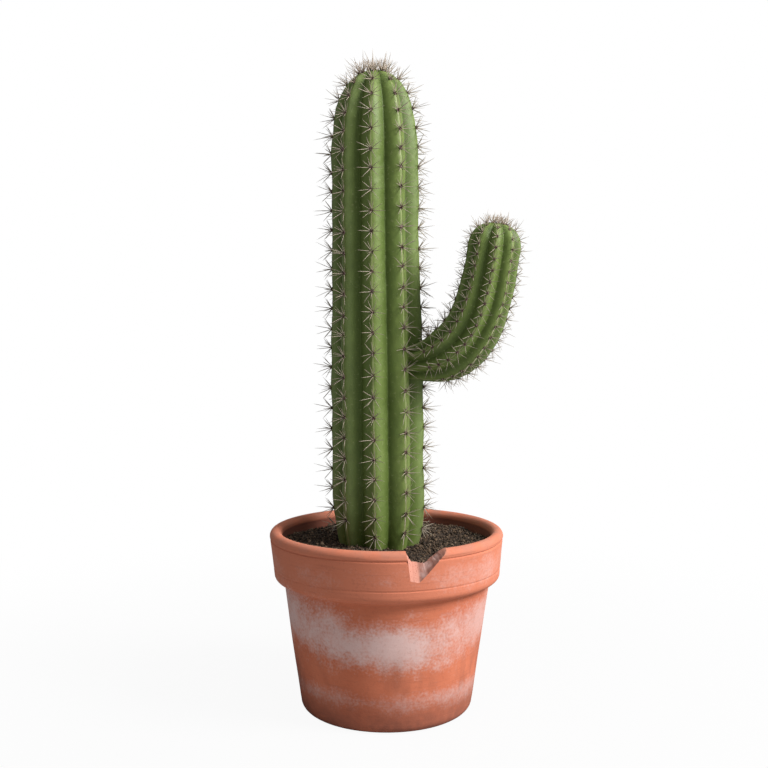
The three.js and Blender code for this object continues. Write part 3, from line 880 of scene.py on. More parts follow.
    def rings(self) -> tuple[Array, dict[str, Array]]:
        """The pot's points, and where it is broken, where its break has painted shade and weathering, and
        where it is inside.

        A point's radius and height come from the turned profile. Above the chip's zone the walls are
        squeezed down to the broken edge, and the rim's rounding is cut off at the plane between the broken
        edge outside and the one inside.
        """
        degrees = self.columns()
        outer, inner = self.outer_wall(), self.inner_wall()
        turn = np.linspace(0.0, math.pi, self.lip_rows)
        across = (1 - np.cos(turn))[:, None] / 2
        arc_height = self.lip_base + self.wall / 2 * np.sin(turn)[:, None]
        jag = ripple(np.stack([degrees, degrees * 0, degrees * 0], -1), 3.1, 5) * self.jag
        broken_out = self.chip_height(degrees, self.chip_outer) + jag
        broken_in = self.chip_height(degrees, self.chip_inner) + jag[::-1]
        edge_out = np.minimum(broken_out, self.lip_base)
        out_r, out_z = self.squeezed(outer, edge_out)
        in_r, in_z = self.squeezed(inner, np.minimum(broken_in, self.lip_base))
        collar = outer[-self.collar_rows :]
        start_r = np.interp(edge_out, collar[:, 1], collar[:, 0])
        lip_r = start_r[None] + (in_r[0] - start_r)[None] * across
        plane = broken_out[None] * (1 - across) + broken_in[None] * across
        radius = np.concatenate([out_r, lip_r, in_r])
        height = np.concatenate([out_z, np.minimum(arc_height, plane), in_z])
        broken, inside = np.zeros_like(radius), np.zeros_like(radius)
        lip_end = len(outer) + self.lip_rows
        broken[len(outer) : lip_end] = (plane < arc_height - 0.05 * MM) * 1.0
        inside[lip_end:] = 1.0
        # Painted shade with weathering: marks the break's face from about 15 to 27 degrees, which is turned
        # from the light.
        weathered_and_shaded = smooth(degrees, 14.6, 16.4) * smooth(degrees, 28.0, 26.0) * broken
        azimuth = np.radians(degrees)[None]
        points = np.stack([radius * np.sin(azimuth), -radius * np.cos(azimuth), height], axis=-1)
        grit = ripple(points, 3.0 * MM, 9) * broken * self.grit
        outward = np.stack([np.sin(azimuth), -np.cos(azimuth), azimuth * 0], axis=-1)
        upright = (height > self.foot_round) & (height < self.lip_base)
        swell = self.unevenness(points, radius, inside) * upright
        points = points + outward * swell[..., None] + np.stack([grit * 0, grit * 0, grit], axis=-1)
        return points, {"broken": broken, "inside": inside, "weathered_and_shaded": weathered_and_shaded}

    def bore_drains(self, pot: bpy.types.Object) -> None:
        """Cuts the round drainage holes through the floor."""
        levels = (-self.floor, 2 * self.floor)
        angle = np.linspace(0.0, TAU, self.drain_sides, endpoint=False)
        circle = np.stack([np.cos(angle), np.sin(angle)], axis=-1) * self.drain_radius
        for index in range(self.drains):
            turn = TAU * index / self.drains
            centre = np.array([math.sin(turn), -math.cos(turn)]) * self.drain_circle
            rings = np.stack([
                np.concatenate([circle + centre, np.full((self.drain_sides, 1), level)], axis=-1)
                for level in levels
            ])
            ends = [np.array([*centre, level]) for level in levels]
            cutter = closed_loft("drain_cutter", rings, *ends)
            cut = pot.modifiers.new("drain", "BOOLEAN")
            cut.operation = "DIFFERENCE"
            cut.solver = "EXACT"
            cut.object = cutter
            bpy.context.view_layer.update()
            bored = pot.evaluated_get(bpy.context.evaluated_depsgraph_get())
            mesh = bpy.data.meshes.new_from_object(bored)
            pot.modifiers.clear()
            pot.data = mesh
            bpy.data.objects.remove(cutter)

    def build(self, finish: bpy.types.Material) -> bpy.types.Object:
        """The pot as one closed mesh, dressed."""
        points, marks = self.rings()
        start = np.array([0.0, 0.0, 0.0])
        end = np.array([0.0, 0.0, self.floor])
        pot = closed_loft("clay_pot", points, start, end)
        for name, values in marks.items():
            paint(pot, name, values)
        self.bore_drains(pot)
        dress(pot, finish, "terracotta", "pot")
        return pot


# ---------------------------------------------------------------- the soil


@dataclass
class PottingSoil:
    """The bed of compost, and the crumbs and grit that lie on it."""

    gap: float = 0.3 * MM
    relief: float = 0.9 * MM
    columns: int = 260
    crumb_count: int = 10500
    crumb_size: float = 0.55 * MM
    crumb_spread: float = 0.4
    crumb_least: float = 0.28 * MM
    crumb_most: float = 1.5 * MM
    plain_share: float = 0.9
    stem_radius: float = 27 * MM
    stem_offset: float = -4.8 * MM
    hollow: Array = field(default_factory=lambda: np.zeros((0, 2)))
    level: float = 112 * MM

    def height_at(self, x: Array, y: Array) -> Array:
        """Low mounds: a product of two sines and one slanting sine, about the level."""
        along = np.sin(x / (11 * MM) + 0.6) * np.cos(y / (13 * MM) - 0.4)
        across = 0.6 * np.sin((x - y) / (7.3 * MM))
        lumps = ripple(np.stack([x, y, x * 0], axis=-1), 4.5 * MM, 21)
        return self.level + self.relief * (along + across) + 0.35 * MM * lumps

    def bed(self, finish: bpy.types.Material) -> bpy.types.Object:
        """The bed: the hollow's wall turned round the axis, closed by a disc that follows the mounds."""
        angle = np.linspace(0.0, TAU, self.columns, endpoint=False)[None]
        wall = self.hollow[::-1] - np.array([self.gap, -self.gap])
        wall = wall[(wall[:, 0] > 0) & (wall[:, 1] < self.level - 2.5 * MM)]
        edge = np.interp(self.level - 2 * MM, self.hollow[::-1, 1], self.hollow[::-1, 0]) - self.gap
        disc = np.linspace(edge, 1 * MM, 80)
        radius = np.concatenate([wall[:, 0], disc])[:, None]
        x, y = radius * np.cos(angle), radius * np.sin(angle)
        top = np.arange(len(radius))[:, None] >= len(wall)
        floor_height = np.concatenate([wall[:, 1], disc * 0])[:, None]
        z = np.where(top, self.height_at(x, y), floor_height)
        points = np.stack([x, y, z], axis=-1)
        start = np.array([0.0, 0.0, wall[0, 1]])
        end = np.array([0.0, 0.0, self.level])
        bed = closed_loft("soil_bed", points, start, end)
        paint(bed, "shade", 0.25 + 0.25 * ripple(points, 5 * MM, 8))
        dress(bed, finish, "potting_soil", "potting_soil")
        return bed

    def crumbs(self, finish: bpy.types.Material) -> bpy.types.Object:
        """Crumbs: twenty-sided lumps, each stretched, turned and dented by its own random numbers."""
        rng = np.random.default_rng(41)
        golden = (1 + math.sqrt(5)) / 2
        base = np.array([
            (-1, golden, 0), (1, golden, 0), (-1, -golden, 0), (1, -golden, 0),
            (0, -1, golden), (0, 1, golden), (0, -1, -golden), (0, 1, -golden),
            (golden, 0, -1), (golden, 0, 1), (-golden, 0, -1), (-golden, 0, 1),
        ]) / math.hypot(1, golden)
        faces = np.array([
            (0, 11, 5), (0, 5, 1), (0, 1, 7), (0, 7, 10), (0, 10, 11), (1, 5, 9), (5, 11, 4), (11, 10, 2),
            (10, 7, 6), (7, 1, 8), (3, 9, 4), (3, 4, 2), (3, 2, 6), (3, 6, 8), (3, 8, 9), (4, 9, 5),
            (2, 4, 11), (6, 2, 10), (8, 6, 7), (9, 8, 1),
        ])
        reach = np.interp(self.level, self.hollow[::-1, 1], self.hollow[::-1, 0]) - 1.2 * MM
        radius = reach * np.sqrt(rng.uniform(0.0, 1.0, self.crumb_count))
        angle = rng.uniform(0.0, TAU, self.crumb_count)
        x, y = radius * np.cos(angle), radius * np.sin(angle)
        from_stem = np.hypot(x - self.stem_offset, y)
        clear = from_stem > self.stem_radius * rng.uniform(0.86, 1.0, self.crumb_count)
        x, y = x[clear], y[clear]
        count = len(x)
        size = rng.lognormal(math.log(self.crumb_size), self.crumb_spread, count)
        size = size.clip(self.crumb_least, self.crumb_most)
        pale = rng.uniform(0.0, 1.0, count) > self.plain_share
        z = self.height_at(x, y) + size * rng.uniform(0.0, 0.9, count)
        stretch = rng.uniform(0.6, 1.25, (count, 1, 3)) * size[:, None, None]
        dents = rng.uniform(0.72, 1.15, (count, len(base), 1))
        turned, _ = np.linalg.qr(rng.normal(size=(count, 3, 3)))
        turned *= np.sign(np.linalg.det(turned))[:, None, None]
        places = np.stack([x, y, z], axis=-1)
        made = copies("soil_crumbs", base[None] * dents * stretch, faces, places, turned)
        shade = np.where(pale, rng.uniform(0.88, 1.0, count), rng.uniform(0.0, 0.82, count))
        paint(made, "shade", np.repeat(shade, len(base)))
        dress(made, finish, "potting_soil")
        return made


# ---------------------------------------------------------------- the plant


class LimbKind(Enum):
    """Which of the plant's two limbs a piece belongs to."""

    STEM = "stem"
    ARM = "arm"


@dataclass
class RibbedLimb:
    """A ribbed limb: an axis on a cubic curve, a crest radius along it and round lobes round it."""

    kind: LimbKind
    bend: Array
    lead: Array
    crest_angle: float
    foot_length: float
    crown_length: float
    crest_radius_start: float
    crest_radius_end: float
    change_from: float
    change_to: float
    neck: float
    neck_length: float
    pitch: float
    crown_pitch: float
    apex_areole: float
    first_areole: float
    areoles_from: float
    ribs: int = 9
    rib_depth: float = 0.195
    crest_round: float = 0.36
    dome_power: float = 2.4
    # Stretches the place across a rib, which widens the painted valley shade and moves the bloom band.
    valley_shade_gain: float = 1.0
    samples: int = 500
    wobble: float = 0.35 * MM
    pimple: float = 0.08 * MM
    smooth_radius: float = 10 * MM
    tip_gap: float = 0.6 * MM
    mark_divisor: float = 13.2
    lens_height: float = 0.55 * MM
    lens_reach: float = 2.8 * MM
    dimple_depth: float = 0.4 * MM
    dimple_reach: float = 2.2 * MM
    seam_width: float = 1.2 * MM
    seam_share: float = 0.45
    cork_share: float = 0.5
    glossy_angle: float = math.radians(20)
    length: float = field(init=False)

    def __post_init__(self) -> None:
        """Measures the axis: points and directions at even steps, and the distance run at each."""
        t = np.linspace(0.0, 1.0, self.samples)[:, None]
        a, b, c, d = self.bend
        self._points = a * (1 - t) ** 3 + 3 * b * t * (1 - t) ** 2 + 3 * c * t * t * (1 - t) + d * t**3
        slope = 3 * (1 - t) ** 2 * (b - a) + 6 * t * (1 - t) * (c - b) + 3 * t * t * (d - c)
        self._tangents = unit(slope)
        steps = np.linalg.norm(np.diff(self._points, axis=0), axis=1)
        self._runs = np.concatenate([[0.0], np.cumsum(steps)])
        self.length = float(self._runs[-1])

    def sampled(self, table: Array, distance: Array) -> Array:
        """A table's three columns at distances along the axis."""
        return np.stack([np.interp(distance, self._runs, table[:, i]) for i in range(3)], axis=-1)

    def root_at(self, height: float, outward: Array, depth: float) -> Array:
        """The place inside the limb's crests, by a depth, where a branch at a height starts.

        Args:
            height: Height of the branch's root.
            outward: Its level unit direction.
            depth: How far inside the crests it starts.

        Returns:
            The root's point.
        """
        at = np.interp(height, self._points[:, 2], self._runs)
        return self.sampled(self._points, at) + outward * (float(self.crest_radius(at)) - depth)

    def dome(self, t: Array) -> Array:
        """Share of the full radius on a rounded end: (1 - t^p)^(1/p) from 1 at its start to 0 at its tip."""
        return (1.0 - np.clip(t, 0.0, 1.0) ** self.dome_power) ** (1.0 / self.dome_power)

    def crest_radius(self, distance: Array) -> Array:
        """Crest radius: a smooth change along the limb, times its neck and its rounded ends."""
        share = distance / self.length
        change = smooth(share, self.change_from, self.change_to)
        crest = self.crest_radius_start + (self.crest_radius_end - self.crest_radius_start) * change
        if self.neck_length:
            crest = crest * (self.neck + (1 - self.neck) * smooth(distance, 0, self.neck_length))
        if self.foot_length:
            crest = crest * self.dome((self.foot_length - distance) / self.foot_length)
        return crest * self.dome((distance - self.length + self.crown_length) / self.crown_length)

    def rib_angle(self) -> float:
        """Angle from one crest to the next."""
        return TAU / self.ribs

    def across(self, angle: Array) -> Array:
        """Signed place across a rib: 0 on its crest and 1 or -1 in the valleys beside it."""
        ribs = (angle - self.crest_angle) / self.rib_angle()
        return 2 * (ribs - np.round(ribs))

    def outward(self, distance: Array, angle: Array) -> Array:
        """Unit directions square to the axis, at angles from the lead."""
        tangent = self.sampled(self._tangents, distance)
        side = unit(np.cross(tangent, self.lead))
        return np.cos(angle)[..., None] * self.lead + np.sin(angle)[..., None] * side

    def skin(self, distance: Array, angle: Array, lift: Array | float = 0.0) -> Array:
        """Points on the skin: the axis plus the crest radius times a lobe.

        The lobe falls from its crest as a hyperbola, so the crest is rounded and the flanks are nearly flat.

        Args:
            distance: Distances along the axis, any shape.
            angle: Angles round it, of the same shape.
            lift: How far off the skin.

        Returns:
            Points, with coordinates along the last axis.
        """
        fall = np.hypot(self.across(angle), self.crest_round) - self.crest_round
        lobe = 1 - self.rib_depth * fall / (math.hypot(1.0, self.crest_round) - self.crest_round)
        radius = self.crest_radius(distance) * lobe + lift
        return self.sampled(self._points, distance) + self.outward(distance, angle) * radius[..., None]

    def crest_runs(self) -> tuple[Array, Array]:
        """Distances along the axis, and the length of each crest up to them, as ribs and samples."""
        distance = np.linspace(0.0, self.length, self.samples)
        angles = self.crest_angle + np.arange(self.ribs) * self.rib_angle()
        grid = np.broadcast_to(distance, (self.ribs, self.samples))
        points = self.skin(grid, np.broadcast_to(angles[:, None], grid.shape))
        steps = np.linalg.norm(np.diff(points, axis=1), axis=2)
        return distance, np.concatenate([np.zeros((self.ribs, 1)), np.cumsum(steps, axis=1)], axis=1)

    def areole_runs(self) -> list[Array]:
        """Runs of the areoles along each crest, counted down from the crown.

        The step down is the crown's pitch there, and closes on the full pitch by exp(-down / 2.6 pitches).
        """
        distance, runs = self.crest_runs()
        rng = np.random.default_rng(7 if self.kind is LimbKind.STEM else 8)
        rows = []
        for rib, run in enumerate(runs):
            total = run[-1]
            lowest = np.interp(self.areoles_from, distance, run)
            found = [total - self.apex_areole] if rib % 2 == 0 else []
            down = self.first_areole + rng.uniform(0.0, 0.3) * self.pitch
            while total - down > lowest:
                found.append(total - down)
                closing = math.exp(-down / (2.6 * self.pitch))
                step = self.pitch + (self.crown_pitch - self.pitch) * closing
                down += step * rng.uniform(0.93, 1.07)
            rows.append(np.array(found[::-1]))
        return rows

    def areole_places(self) -> dict[str, Array]:
        """Every areole's place and axes.

        Returns:
            point, along, out and across vectors, with its rib, the limb's radius there and the depth below
            the crown, each an array over the areoles.
        """
        distance, runs = self.crest_runs()
        kept = {name: [] for name in ("point", "along", "out", "rib", "radius", "down")}
        for rib, found in enumerate(self.areole_runs()):
            angle = self.crest_angle + rib * self.rib_angle()
            at = np.interp(found, runs[rib], distance)
            angles = np.full_like(at, angle)
            ahead = self.skin(np.minimum(at + 0.2 * MM, self.length), angles)
            behind = self.skin(at - 0.2 * MM, angles)
            along = unit(ahead - behind)
            out = self.outward(at, angles)
            out = unit(out - along * (out * along).sum(axis=-1, keepdims=True))
            kept["point"].append(self.skin(at, angles, -0.25 * MM))
            kept["along"].append(along)
            kept["out"].append(out)
            kept["rib"].append(np.full(len(at), rib))
            kept["radius"].append(self.crest_radius(at))
            kept["down"].append(runs[rib][-1] - found)
        places = {name: np.concatenate(parts) for name, parts in kept.items()}
        places["across"] = np.cross(places["along"], places["out"])
        return places

    def areole_phase(self, at: Array, angle: Array) -> Array:
        """Share of the way from each point's last areole to its next one, along the nearest crest.

        Args:
            at: Distances along the axis, as rows and columns.
            angle: Angles round it, of the same shape.

        Returns:
            Shares from 0 at an areole to just under 1 at the next, of that shape.
        """
        distance, runs = self.crest_runs()
        ribs = np.round((angle - self.crest_angle) / self.rib_angle()).astype(int) % self.ribs
        phase = np.zeros(at.shape)
        for rib, found in enumerate(self.areole_runs()):
            mine = ribs == rib
            here = np.interp(at[mine], distance, runs[rib])
            steps = np.concatenate([[found[0] - self.pitch * 4], found, [found[-1] + self.pitch]])
            order = np.concatenate([[-4.0], np.arange(len(found) + 1)])
            phase[mine] = np.interp(here, steps, order) % 1.0
        return phase

    def body(self, name: str, rows: int, per_rib: int) -> bpy.types.Object:
        """The limb's skin as one closed mesh, with its marks.

        The marks' widths are scaled by the pitch in metres over a divisor, which is about a thousandth. So
        each mark is narrower than one column of vertices: the pale lens shows as a thin line on the crest,
        its swelling is under a thousandth of a millimetre, and the dimples are hidden under the cushions.

        Args:
            name: The piece's name.
            rows: Rings along the limb.
            per_rib: Vertices across one rib.

        Returns:
            The new object.
        """
        distance, runs = self.crest_runs()
        ring_runs = np.linspace(0.0, runs[0, -1] - self.tip_gap, rows)
        columns = self.ribs * per_rib
        turns = self.crest_angle + np.arange(columns) * TAU / columns
        at, angle = np.meshgrid(np.interp(ring_runs, runs[0], distance), turns, indexing="ij")
        across = np.abs(self.across(angle))
        phase = self.areole_phase(at, angle)
        sideways = across * self.crest_radius(at) * math.sin(self.rib_angle() / 2)
        between = np.sin(math.pi * phase)
        nearest = np.minimum(phase, 1 - phase) * self.pitch
        size = self.pitch / self.mark_divisor
        close = np.exp(-(sideways**2 + nearest**2) / (self.dimple_reach * size**0.5) ** 2)
        bulge = between * np.exp(-((sideways / (self.lens_reach * size)) ** 2))
        plain = self.skin(at, angle)
        lift = self.lens_height * size * bulge - self.dimple_depth * close
        lift = lift + self.wobble * ripple(plain, 34 * MM, 13) + self.pimple * ripple(plain, 6 * MM, 14)
        lift = lift * np.clip(self.crest_radius(at) / self.smooth_radius, 0.0, 1.0)
        ends = [self.sampled(self._points, np.array(place)) for place in (0.0, self.length)]
        piece = closed_loft(name, self.skin(at, angle, lift), *ends)
        lens_width = (0.8 * MM + 2.9 * MM * between) * size**0.5
        lens = 1 - smooth(sideways / lens_width, 0.6, 1.1)
        seam = 1 - smooth(sideways / self.seam_width, 0.3, 1.0)
        low = 1 - smooth(at / self.length, 0.1, 0.4)
        off_front = np.abs((angle - self.glossy_angle + math.pi) % TAU - math.pi)
        # The place across a rib, stretched by the gain, sets where the painted valley shade falls; the bloom
        # band uses it too.
        paint(piece, "across", np.clip(across * self.valley_shade_gain, 0.0, 1.0))
        paint(piece, "bloom", smooth(off_front, math.radians(30), math.radians(60)))
        paint(piece, "lens", lens * (1 - 0.6 * close))
        paint(piece, "cork", self.seam_share * seam * low + self.cork_share * close)
        return piece


@dataclass(frozen=True)
class SpineShape:
    """One kind of spine: a ring of sides carried along a slightly bent, tapering path."""

    sides: int = 5
    steps: tuple[float, ...] = (0.0, 0.1, 0.45, 0.8, 1.0)
    widths: tuple[float, ...] = (1.3, 1.0, 0.82, 0.52, 0.1)

    def faces(self) -> Array:
        """Triangles of one closed spine."""
        rows = len(self.steps)
        quads = grid_faces(rows, self.sides)
        split = np.concatenate([quads[:, [0, 1, 2]], quads[:, [0, 2, 3]]])
        caps = np.array([(0, i + 1, i) for i in range(1, self.sides - 1)])
        last = (rows - 1) * self.sides
        tops = np.array([(last, last + i, last + i + 1) for i in range(1, self.sides - 1)])
        return np.concatenate([split, caps, tops])

    def shape(self, length: Array, radius: Array, bend: Array) -> Array:
        """Points of every spine about its own axes: x and y across it, z along it.

        Args:
            length: Each spine's length.
            radius: Each spine's radius near its root.
            bend: How far each tip is pushed along x, as a share of the length.

        Returns:
            Points as spines, vertices and coordinates.
        """
        t = np.repeat(np.array(self.steps), self.sides)[None]
        width = np.repeat(np.array(self.widths), self.sides)[None] * radius[:, None]
        turn = np.tile(np.linspace(0.0, TAU, self.sides, endpoint=False), len(self.steps))[None]
        x = width * np.cos(turn) + bend[:, None] * length[:, None] * t * t
        y = width * np.sin(turn)
        z = length[:, None] * t
        return np.stack([x, y, z + 0 * x], axis=-1)


@dataclass
class Spines:
    """The spines and felted cushions of one limb."""

    limb: RibbedLimb
    radial_length: float = 9.5 * MM
    central_length: float = 11.4 * MM
    radius: float = 0.25 * MM
    radial_rise: float = 0.72
    radial_degrees: tuple[float, ...] = (-50.0, -5.0, 35.0, 75.0, 105.0, 145.0, 185.0, 230.0)
    centrals: int = 2
    root_growth: float = 0.0
    root_zone: tuple[float, float] = (45 * MM, 95 * MM)
    cushion: tuple[float, float, float] = (1.15 * MM, 1.35 * MM, 0.75 * MM)
    shape: SpineShape = SpineShape()
    blocked: tuple[int, float, float] | None = None
    jitter: float = 0.1
    lean_jitter: float = 0.16
    central_leans: tuple[tuple[float, float], ...] = ((0.1, 0.22), (-0.1, -0.3))
    young_reach: float = 14 * MM
    tip_reach: float = 5 * MM
    tip_loss: float = 0.45
    upper_loss: float = 0.16
    root_spread: tuple[float, float, float] = (0.75 * MM, 0.85 * MM, 0.3 * MM)

    def cluster(self, places: dict[str, Array], rng: np.random.Generator) -> dict[str, Array]:
        """Roots, directions and lengths of every spine of some areoles.

        The radial spines fan out round each areole at their own angles, each with a small random turn, and
        the central ones stand up from it. Near the crown all of them close up round the tip.

        Args:
            places: The areoles' places and axes.
            rng: The random numbers.

        Returns:
            root, direction, length, areole number and youth of each spine.
        """
        radials, centrals = len(self.radial_degrees), self.centrals
        count = len(places["point"])
        young = np.exp(-places["down"] / self.young_reach)[:, None]
        grown = 1 - self.tip_loss * np.exp(-((places["down"] / self.tip_reach) ** 2))
        grown = (grown * (1 + self.root_growth * smooth(places["down"], *self.root_zone)))[:, None]
        turn = np.radians(self.radial_degrees) + rng.normal(0.0, self.jitter, (count, radials))
        rise = self.radial_rise + 0.9 * young + rng.normal(0.0, self.jitter, (count, radials))
        spread = np.stack([np.cos(turn), np.sin(turn)], axis=-1)
        length_r = self.radial_length * rng.uniform(0.86, 1.14, (count, radials))
        length_r = length_r * (1 - self.upper_loss * (spread[..., 1] > 0.5)) * (1 + 0.2 * young)
        lean = rng.normal(0.0, self.lean_jitter, (count, centrals, 2))
        lean = lean + np.array(self.central_leans)[:centrals]
        length_c = self.central_length * rng.uniform(0.82, 1.15, (count, centrals)) * (1 + 0.25 * young)
        flat = np.concatenate([spread, lean], axis=1)
        up = np.concatenate([rise, np.ones((count, centrals))], axis=1)
        length = np.concatenate([length_r, length_c], axis=1) * grown
        axes = np.stack([places["across"], places["along"], places["out"]], axis=1)
        local = np.concatenate([flat, up[..., None]], axis=-1)
        direction = unit(np.einsum("nki,nij->nkj", local, axes))
        offset = np.einsum("nki,nij->nkj", unit(local) * np.array(self.root_spread), axes)
        parts = {
            "root": places["point"][:, None] + offset + 0.1 * MM * axes[:, 2][:, None],
            "direction": direction,
            "length": length,
            "owner": np.broadcast_to(np.arange(count)[:, None], length.shape),
            "young": np.broadcast_to(young, length.shape),
        }
        return {name: part.reshape(-1, *part.shape[2:]) for name, part in parts.items()}

    def spine_piece(self, name: str, spines: dict[str, Array], rng: np.random.Generator) -> bpy.types.Object:
        """One mesh of many spines, each marked with the distance along it, its tint and its youth.

        Args:
            name: The piece's name.
            spines: The spines' roots, directions, lengths and youth.
            rng: The random numbers.

        Returns:
            The new object.
        """
        count = len(spines["length"])
        helper = unit(rng.normal(size=(count, 3)))
        side = unit(np.cross(helper, spines["direction"]))
        third = np.cross(spines["direction"], side)
        axes = np.stack([side, third, spines["direction"]], axis=1)
        radius = self.radius * rng.uniform(0.8, 1.15, count)
        shape = self.shape.shape(spines["length"], radius, rng.normal(0.0, 0.05, count))
        piece = copies(name, shape, self.shape.faces(), spines["root"], axes)
        along = np.tile(np.repeat(np.array(self.shape.steps), self.shape.sides), count)
        size = shape.shape[1]
        paint(piece, "along", along)
        paint(piece, "tint", np.repeat(rng.uniform(0.0, 1.0, count), size))
        paint(piece, "young", np.repeat(spines["young"], size))
        return piece

    def cushions(self, name: str, places: dict[str, Array], rng: np.random.Generator) -> bpy.types.Object:
        """The felted cushions: flattened balls of eight columns and three rings, sunk in the crest.

        Args:
            name: The piece's name.
            places: The areoles' places and axes.
            rng: The random numbers.

        Returns:
            The new object.
        """
        columns, tilts = 8, np.radians([-50.0, 0.0, 45.0])
        turn = np.linspace(0.0, TAU, columns, endpoint=False)
        circle = np.stack([np.cos(turn), np.sin(turn), turn * 0], axis=-1)
        pole = np.array([0.0, 0.0, 1.0])
        rings = np.stack([circle * np.cos(tilt) + pole * np.sin(tilt) for tilt in tilts])
        ball = np.concatenate([rings.reshape(-1, 3), [(0.0, 0.0, -1.0)], [(0.0, 0.0, 1.0)]])
        quads = grid_faces(len(tilts), columns)
        poles = len(tilts) * columns
        faces = np.concatenate([
            quads[:, [0, 1, 2]],
            quads[:, [0, 2, 3]],
            fan_faces(poles, 0, columns, at_start=True),
            fan_faces(poles + 1, poles - columns, columns, at_start=False),
        ])
        count = len(places["point"])
        size = np.array(self.cushion) * rng.uniform(0.85, 1.15, (count, 1, 3))
        shape = ball[None] * size * rng.uniform(0.9, 1.1, (count, len(ball), 1))
        axes = np.stack([places["across"], places["along"], places["out"]], axis=1)
        piece = copies(name, shape, faces, places["point"], axes)
        paint(piece, "wool", np.tile(np.clip(ball[:, 2], 0.0, 1.0), count))
        return piece

    def build(self, horn: bpy.types.Material, felt: bpy.types.Material) -> list[bpy.types.Object]:
        """Every row of spines and the cushions of the limb, dressed.

        Args:
            horn: The spines' material.
            felt: The cushions' material.

        Returns:
            The new objects.
        """
        kind = self.limb.kind.value
        rng = np.random.default_rng(101 if self.limb.kind is LimbKind.STEM else 202)
        places = self.limb.areole_places()
        if self.blocked is not None:
            rib, low, high = self.blocked
            height = places["point"][:, 2]
            free = (places["rib"] != rib) | (height < low) | (height > high)
            places = {name: values[free] for name, values in places.items()}
        spines = self.cluster(places, rng)
        rib_of = places["rib"][spines["owner"]]
        pieces = []
        for rib in range(self.limb.ribs):
            mine = {name: values[rib_of == rib] for name, values in spines.items()}
            piece = self.spine_piece(f"{kind}_spines_{rib + 1}", mine, rng)
            nodes = [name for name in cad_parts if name.startswith(f"spine_row_{kind}_{rib + 1}")]
            dress(piece, horn, "spines", *nodes)
            pieces.append(piece)
        cushions = self.cushions(f"{kind}_areoles", places, rng)
        dress(cushions, felt, "spines")
        return [*pieces, cushions]


@dataclass
class Cactus:
    """The plant: the stem, the arm and their spines."""

    stem_offset: float = -4.8 * MM
    stem_lean: float = -3.0 * MM
    arm_azimuth: float = math.radians(70)
    arm_height: float = 234.8 * MM
    arm_root_depth: float = 10 * MM
    arm_reach: float = 61 * MM
    arm_rise: float = 90.8 * MM
    arm_bend: tuple[tuple[float, float], ...] = ((0.0, 0.0), (0.79, 0.007), (0.89, 0.412), (1.0, 1.0))
    bare_below: float = 14 * MM
    bare_above: float = 16 * MM

    def stem(self) -> RibbedLimb:
        """The main stem, from its foot in the soil to its crown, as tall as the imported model's."""
        low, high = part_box("main_stem")
        bottom, top = low[2], high[2]
        third = (top - bottom) / 3
        x = self.stem_offset
        bend = np.array([
            (x, 0.0, bottom), (x, 0.0, bottom + third),
            (x + self.stem_lean, 0.0, top - third), (x + self.stem_lean, 0.0, top),
        ])
        return RibbedLimb(
            kind=LimbKind.STEM, bend=bend, lead=np.array([0.0, -1.0, 0.0]), crest_angle=math.radians(-5),
            foot_length=64 * MM, crown_length=62 * MM,
            crest_radius_start=31.4 * MM, crest_radius_end=29.3 * MM, change_from=0.35, change_to=0.74,
            neck=1.0, neck_length=0.0, pitch=13.4 * MM, crown_pitch=9.5 * MM,
            apex_areole=3.2 * MM, first_areole=7.6 * MM, areoles_from=33 * MM,
        )

    def arm(self, stem: RibbedLimb) -> RibbedLimb:
        """The side arm: its curve starts inside the stem, leaves it nearly level and rises.

        Args:
            stem: The stem that it grows from.

        Returns:
            The arm's limb.
        """
        outward = np.array([math.sin(self.arm_azimuth), -math.cos(self.arm_azimuth), 0.0])
        up = np.array([0.0, 0.0, 1.0])
        root = stem.root_at(self.arm_height, outward, self.arm_root_depth)
        reach, rise = self.arm_reach, self.arm_rise
        bend = np.array([root + outward * reach * a + up * rise * b for a, b in self.arm_bend])
        return RibbedLimb(
            kind=LimbKind.ARM, bend=bend, lead=np.cross(outward, up), crest_angle=math.radians(19),
            foot_length=0.0, crown_length=18 * MM,
            crest_radius_start=18.9 * MM, crest_radius_end=16.6 * MM, change_from=0.3, change_to=1.0,
            neck=0.64, neck_length=34 * MM, pitch=7.5 * MM, crown_pitch=6.0 * MM,
            # The arm's painted valley shade spreads wider across its ribs.
            apex_areole=2.2 * MM, first_areole=5.2 * MM, areoles_from=17 * MM, valley_shade_gain=1.3,
        )

    def build(self, skin: bpy.types.Material, horn: bpy.types.Material, felt: bpy.types.Material) -> None:
        """Both limbs, with their spines, dressed. The stem has no areoles where the arm grows.

        Args:
            skin: The limbs' material.
            horn: The spines' material.
            felt: The cushions' material.
        """
        stem = self.stem()
        arm = self.arm(stem)
        body = stem.body("cactus_stem", rows=290, per_rib=32)
        dress(body, skin, "cactus_skin", "main_stem")
        side = arm.body("cactus_arm", rows=150, per_rib=26)
        dress(side, skin, "cactus_skin", "side_arm")
        arm_rib = round((self.arm_azimuth - stem.crest_angle) / stem.rib_angle())
        clear = (arm_rib, self.arm_height - self.bare_below, self.arm_height + self.bare_above)
        Spines(stem, blocked=clear).build(horn, felt)
        Spines(arm, radial_length=6.2 * MM, central_length=7.6 * MM, radius=0.19 * MM,
               radial_degrees=(-40.0, 20.0, 70.0, 110.0, 160.0, 220.0), centrals=1, root_growth=0.35,
               cushion=(0.95 * MM, 1.1 * MM, 0.65 * MM)).build(horn, felt)


# ---------------------------------------------------------------- the studio


